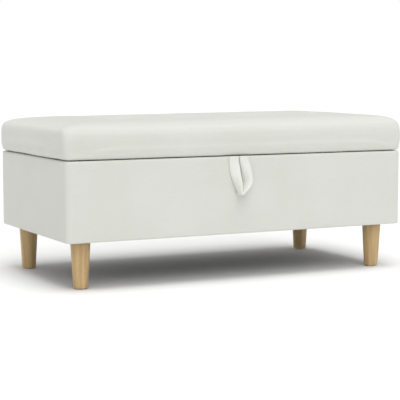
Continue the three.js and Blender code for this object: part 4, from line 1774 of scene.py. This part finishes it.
@dataclass
class PullLoop:
    """The folded strap of upholstery that lifts the lid."""

    bench: Bench
    width: float = 28.0
    thick: float = 4.4
    turn: float = 5.0
    x: float = -18.0
    left: tuple = (
        (0, -29.5, 0), (0.15, -29.5, 3), (0.5, -26.3, 28), (0.76, -16.5, 60), (0.93, -8, 82), (1, -5, 90),
    )
    right: tuple = (
        (0, 1.5, 0), (0.15, 2.2, 3), (0.5, 8.5, 27), (0.76, 11.5, 48), (0.93, 8, 76), (1, 5, 90),
    )
    gap: float = 0.3
    bunched: float = 9.0
    bunched_from: float = 0.72
    straight_steps: int = 44
    turn_steps: int = 16
    section_steps: int = 26
    flatness: float = 0.55
    plumpness: float = 0.8
    stitch_inset: float = 3.2
    groove_width: float = 1.1
    groove_depth: float = 0.28
    stitch_sink: float = 0.72
    ripple: float = 0.25

    def strand(self, table: Sequence[tuple[float, float, float]], share: float) -> tuple[float, float]:
        """Rear edge and twist of a strand at a share of its way down.

        Args:
            table: Rows of share, rear edge in millimetres and twist in degrees.
            share: 0 at the seam, 1 at the turn.

        Returns:
            The rear edge and the twist in radians, eased between the rows.
        """
        at, rear, twist = np.array(table).T
        near = np.clip(share + np.linspace(-0.1, 0.1, 9), 0, 1)
        pull = min(share, 1 - share, 0.1) / 0.1
        near = share + (near - share) * pull
        return float(np.interp(near, at, rear).mean()), math.radians(np.interp(near, at, twist).mean())

    def fullness(self, share: float) -> float:
        """How much thicker the strap is where its filling bunches up towards the turn.

        Args:
            share: 0 at the seam, 1 at the turn.

        Returns:
            The strap's thickness there, as a multiple of its thickness at the seam.
        """
        rise = min(max((share - self.bunched_from) / (1 - self.bunched_from), 0), 1)
        return 1 + (self.bunched / self.thick - 1) * rise * rise * (3 - 2 * rise)

    def stations(self) -> list[tuple[np.ndarray, np.ndarray, np.ndarray, float]]:
        """Stations down the left strand, round the turn and up the right one.

        Returns:
            Centre, direction across the strap, outward normal and fullness of each station.
        """
        low, high = (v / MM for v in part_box("pull_loop"))
        back = self.bench.centre_y - self.bench.half_depth - self.gap - self.thick / 2
        turn_z = low.z + self.bunched / 2 + self.turn
        rows = []
        shares = [i / self.straight_steps for i in range(self.straight_steps + 1)]
        full = [self.fullness(s) for s in shares]
        rows += [(*self.strand(self.left, s), high.z + (turn_z - high.z) * s, 0.0) for s in shares]
        for i in range(1, self.turn_steps):
            down = i / self.turn_steps * math.pi
            z = turn_z - self.turn * math.sin(down)
            rows.append((-self.turn * math.cos(down), math.pi / 2, z, down))
        full += [self.fullness(1)] * (self.turn_steps - 1) + full[::-1]
        shares.reverse()
        rows += [(*self.strand(self.right, s), high.z + (turn_z - high.z) * s, math.pi) for s in shares]
        stations = []
        for (rear, twist, z, down), fat in zip(rows, full):
            across = np.array([math.cos(twist), -math.sin(twist), 0])
            normal = np.array([-math.sin(twist), -math.cos(twist), 0]) * math.cos(down)
            normal[2] = -math.sin(down)
            edge = np.array([self.x + rear, back, z])
            stations.append((edge + across * self.width / 2, across, normal, fat))
        return stations

    def build(self) -> bpy.types.Object:
        """Sweeps the strap's plump section along its line.

        Returns:
            The strap.
        """
        angles = np.linspace(0, 2 * math.pi, self.section_steps, endpoint=False)
        cos, sin = np.cos(angles), np.sin(angles)
        wide = np.sign(cos) * np.abs(cos) ** self.flatness * self.width / 2
        deep = np.sign(sin) * np.abs(sin) ** self.plumpness * self.thick / 2
        seam = (np.abs(wide) - self.width / 2 + self.stitch_inset) / self.groove_width
        deep = deep * (1 - self.groove_depth * np.exp(-(seam**2)))
        shape = skin(
            [
                centre + wide[:, None] * across + fat * deep[:, None] * normal
                for centre, across, normal, fat in self.stations()
            ]
        )
        lie = wobble(shape.vertices, 16, 4.0)[:, None] * np.array([0.4, -1, 0.2])
        shape.vertices += self.ripple * lie
        # The strap wears the cloth painted lighter: painted light on the same cloth as the body.
        obj = shape.to_object("pull_strap", STRAP_CLOTH_PAINTED_LIGHT, 70)
        self.fix_winding(obj)
        settle(obj, Body.LOOP.value, Slot.FABRIC, "pull_loop")
        return obj

    @staticmethod
    def fix_winding(obj: bpy.types.Object) -> None:
        """Turns the faces out, whichever way the strap was swept.

        Args:
            obj: The strap.
        """
        mesh = bmesh.new()
        mesh.from_mesh(obj.data)
        bmesh.ops.recalc_face_normals(mesh, faces=mesh.faces)
        mesh.to_mesh(obj.data)
        mesh.free()

    def stitches(self) -> bpy.types.Object:
        """Sews two rows of stitches on each face of the strap.

        Returns:
            The stitches, as one piece.
        """
        points: list[np.ndarray] = []
        edges: list[tuple[int, int]] = []
        stations = self.stations()[1:-1]
        for face in (-1, 1):
            for row in (-1, 1):
                first = len(points)
                for centre, across, normal, fat in stations:
                    out = face * (self.thick / 2 * self.stitch_sink) * fat
                    side = row * (self.width / 2 - self.stitch_inset)
                    points.append(centre + across * side + normal * out)
                edges += [(i, i + 1) for i in range(first, len(points) - 1)]
        spread, tree = run_of_threads(2.6, 0.55, 3.4)
        obj = spread.apply(tree, "pull_strap_stitches", np.array(points), edges, THREAD)
        return settle(obj, Body.LOOP.value, Slot.FABRIC)


# ------------------------------------------------------------------ frame nodes and studio


def dress_frame() -> None:
    """Gives every CAD node that stays on show its own finish."""
    plain = {
        "panel": BIRCH_PLY, "lid_board": BIRCH_PLY, "batten": PINE, "leg_block": PINE,
        "leg_bolt": ZINC, "leg_insert": ZINC,
    }
    for name, node in frame["nodes"].items():
        finish = next((f for word, f in plain.items() if word in name), None)
        if finish is not None:
            node.data.materials.clear()
            node.data.materials.append(material_of(finish))
            log.info("%s wears %s", name, finish.name)


@dataclass
class Studio:
    """Camera, soft lights and a pale floor."""

    bench: Bench
    camera_at: tuple[float, float, float] = (-1.678, -3.3025, 0.564)
    yaw: float = 26.816
    pitch: float = 5.747
    lens: float = 118.95
    floor: str = "#F8F8F7"
    floor_half: float = 30.0
    room_light: float = 0.5
    softness: float = 40.0

    def camera(self) -> None:
        """Makes the camera."""
        data = bpy.data.cameras.new("camera")
        data.lens = self.lens
        data.sensor_width = 36.0
        data.clip_end = 100
        obj = bpy.data.objects.new("camera", data)
        obj.location = self.camera_at
        obj.rotation_euler = (math.radians(90 - self.pitch), 0, math.radians(-self.yaw))
        bpy.context.scene.collection.objects.link(obj)
        bpy.context.scene.camera = obj

    def sun(self, name: str, toward: Sequence[float], strength: float) -> None:
        """Makes a broad, soft light that falls evenly from one direction.

        Args:
            name: Name of the light.
            toward: Direction from the bench to the light.
            strength: Its strength in watts per square metre.
        """
        data = bpy.data.lights.new(name, "SUN")
        data.energy = strength
        data.angle = math.radians(self.softness)
        obj = bpy.data.objects.new(name, data)
        obj.rotation_euler = Vector(toward).to_track_quat("Z", "Y").to_euler()
        bpy.context.scene.collection.objects.link(obj)

    def surroundings(self) -> None:
        """Makes the room: even light from all round, and a white backdrop behind the bench."""
        world = bpy.data.worlds.new("studio")
        world.use_nodes = True
        tree = world.node_tree
        tree.nodes.clear()
        seen = add_node(tree, "ShaderNodeLightPath").outputs["Is Camera Ray"]
        strength = add_node(tree, "ShaderNodeMapRange", {0: seen, 3: self.room_light, 4: 1.0})
        light = add_node(tree, "ShaderNodeBackground", {0: (1, 1, 1, 1), 1: strength.outputs[0]})
        add_node(tree, "ShaderNodeOutputWorld", {"Surface": light.outputs[0]})
        bpy.context.scene.world = world

    def ground(self) -> None:
        """Makes the floor."""
        half = self.floor_half
        corners = [(-half, -half, 0), (half, -half, 0), (half, half, 0), (-half, half, 0)]
        mesh = bpy.data.meshes.new("floor")
        mesh.from_pydata(corners, [], [(0, 1, 2, 3)])
        material, _, shader = start_material("matt_paper")
        shader.inputs["Base Color"].default_value = linear(self.floor)
        shader.inputs["Roughness"].default_value = 0.9
        mesh.materials.append(material)
        obj = bpy.data.objects.new("floor", mesh)
        bpy.context.scene.collection.objects.link(obj)

    def build(self) -> None:
        """Sets up the studio."""
        self.camera()
        self.sun("front", (-0.18, -1.0, 0.94), 0.8)
        self.sun("left", (-0.75, -0.75, 0.35), 0.2)
        self.sun("above", (0.0, -0.17, 1.0), 1.53)
        self.surroundings()
        self.ground()
        bpy.context.scene.view_settings.view_transform = "Standard"


# ------------------------------------------------------------------ main


def leg_places() -> np.ndarray:
    """Finds the centres of the legs, in millimetres.

    Returns:
        (4, 2) places in the order of the legs.
    """
    places = []
    for corner in TurnedLegs.corners:
        low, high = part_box(f"leg_{corner}")
        places.append([(low.x + high.x) / 2 / MM, (low.y + high.y) / 2 / MM])
    return np.array(places)


def main() -> None:
    """Builds the bench's looks around the frame."""
    logging.basicConfig(level=logging.INFO, format="%(name)s: %(message)s")
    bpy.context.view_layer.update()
    bench = Bench.read()
    Studio(bench).build()
    dress_frame()

    cushion = SeatCushion(bench)
    cushion.build()
    cushion.buttons()

    cover = BoxCover(bench)
    cover.build()
    cover.rim_stitches()

    linings = Linings(bench)
    linings.tub()
    none = np.empty((0, 2))
    linings.sheet("lid_underside_felt", "lid_lining", Body.LID, 3.0, none, 0.0)
    linings.staples("lid_staples", "lid_lining", Body.LID, 9.0, 0.3)
    linings.sheet("underside_dust_cover", "dust_cover", Body.BOX, 8.0, leg_places(), 12.0)
    linings.staples("dust_cover_staples", "dust_cover", Body.BOX, 6.0, 0.3)

    TurnedLegs(bench).build()
    for side in Side:
        ButtHinge(bench, side).build()
        GasStrut(bench, side).build()

    loop = PullLoop(bench)
    loop.build()
    loop.stitches()


if __name__ == "__main__":
    main()
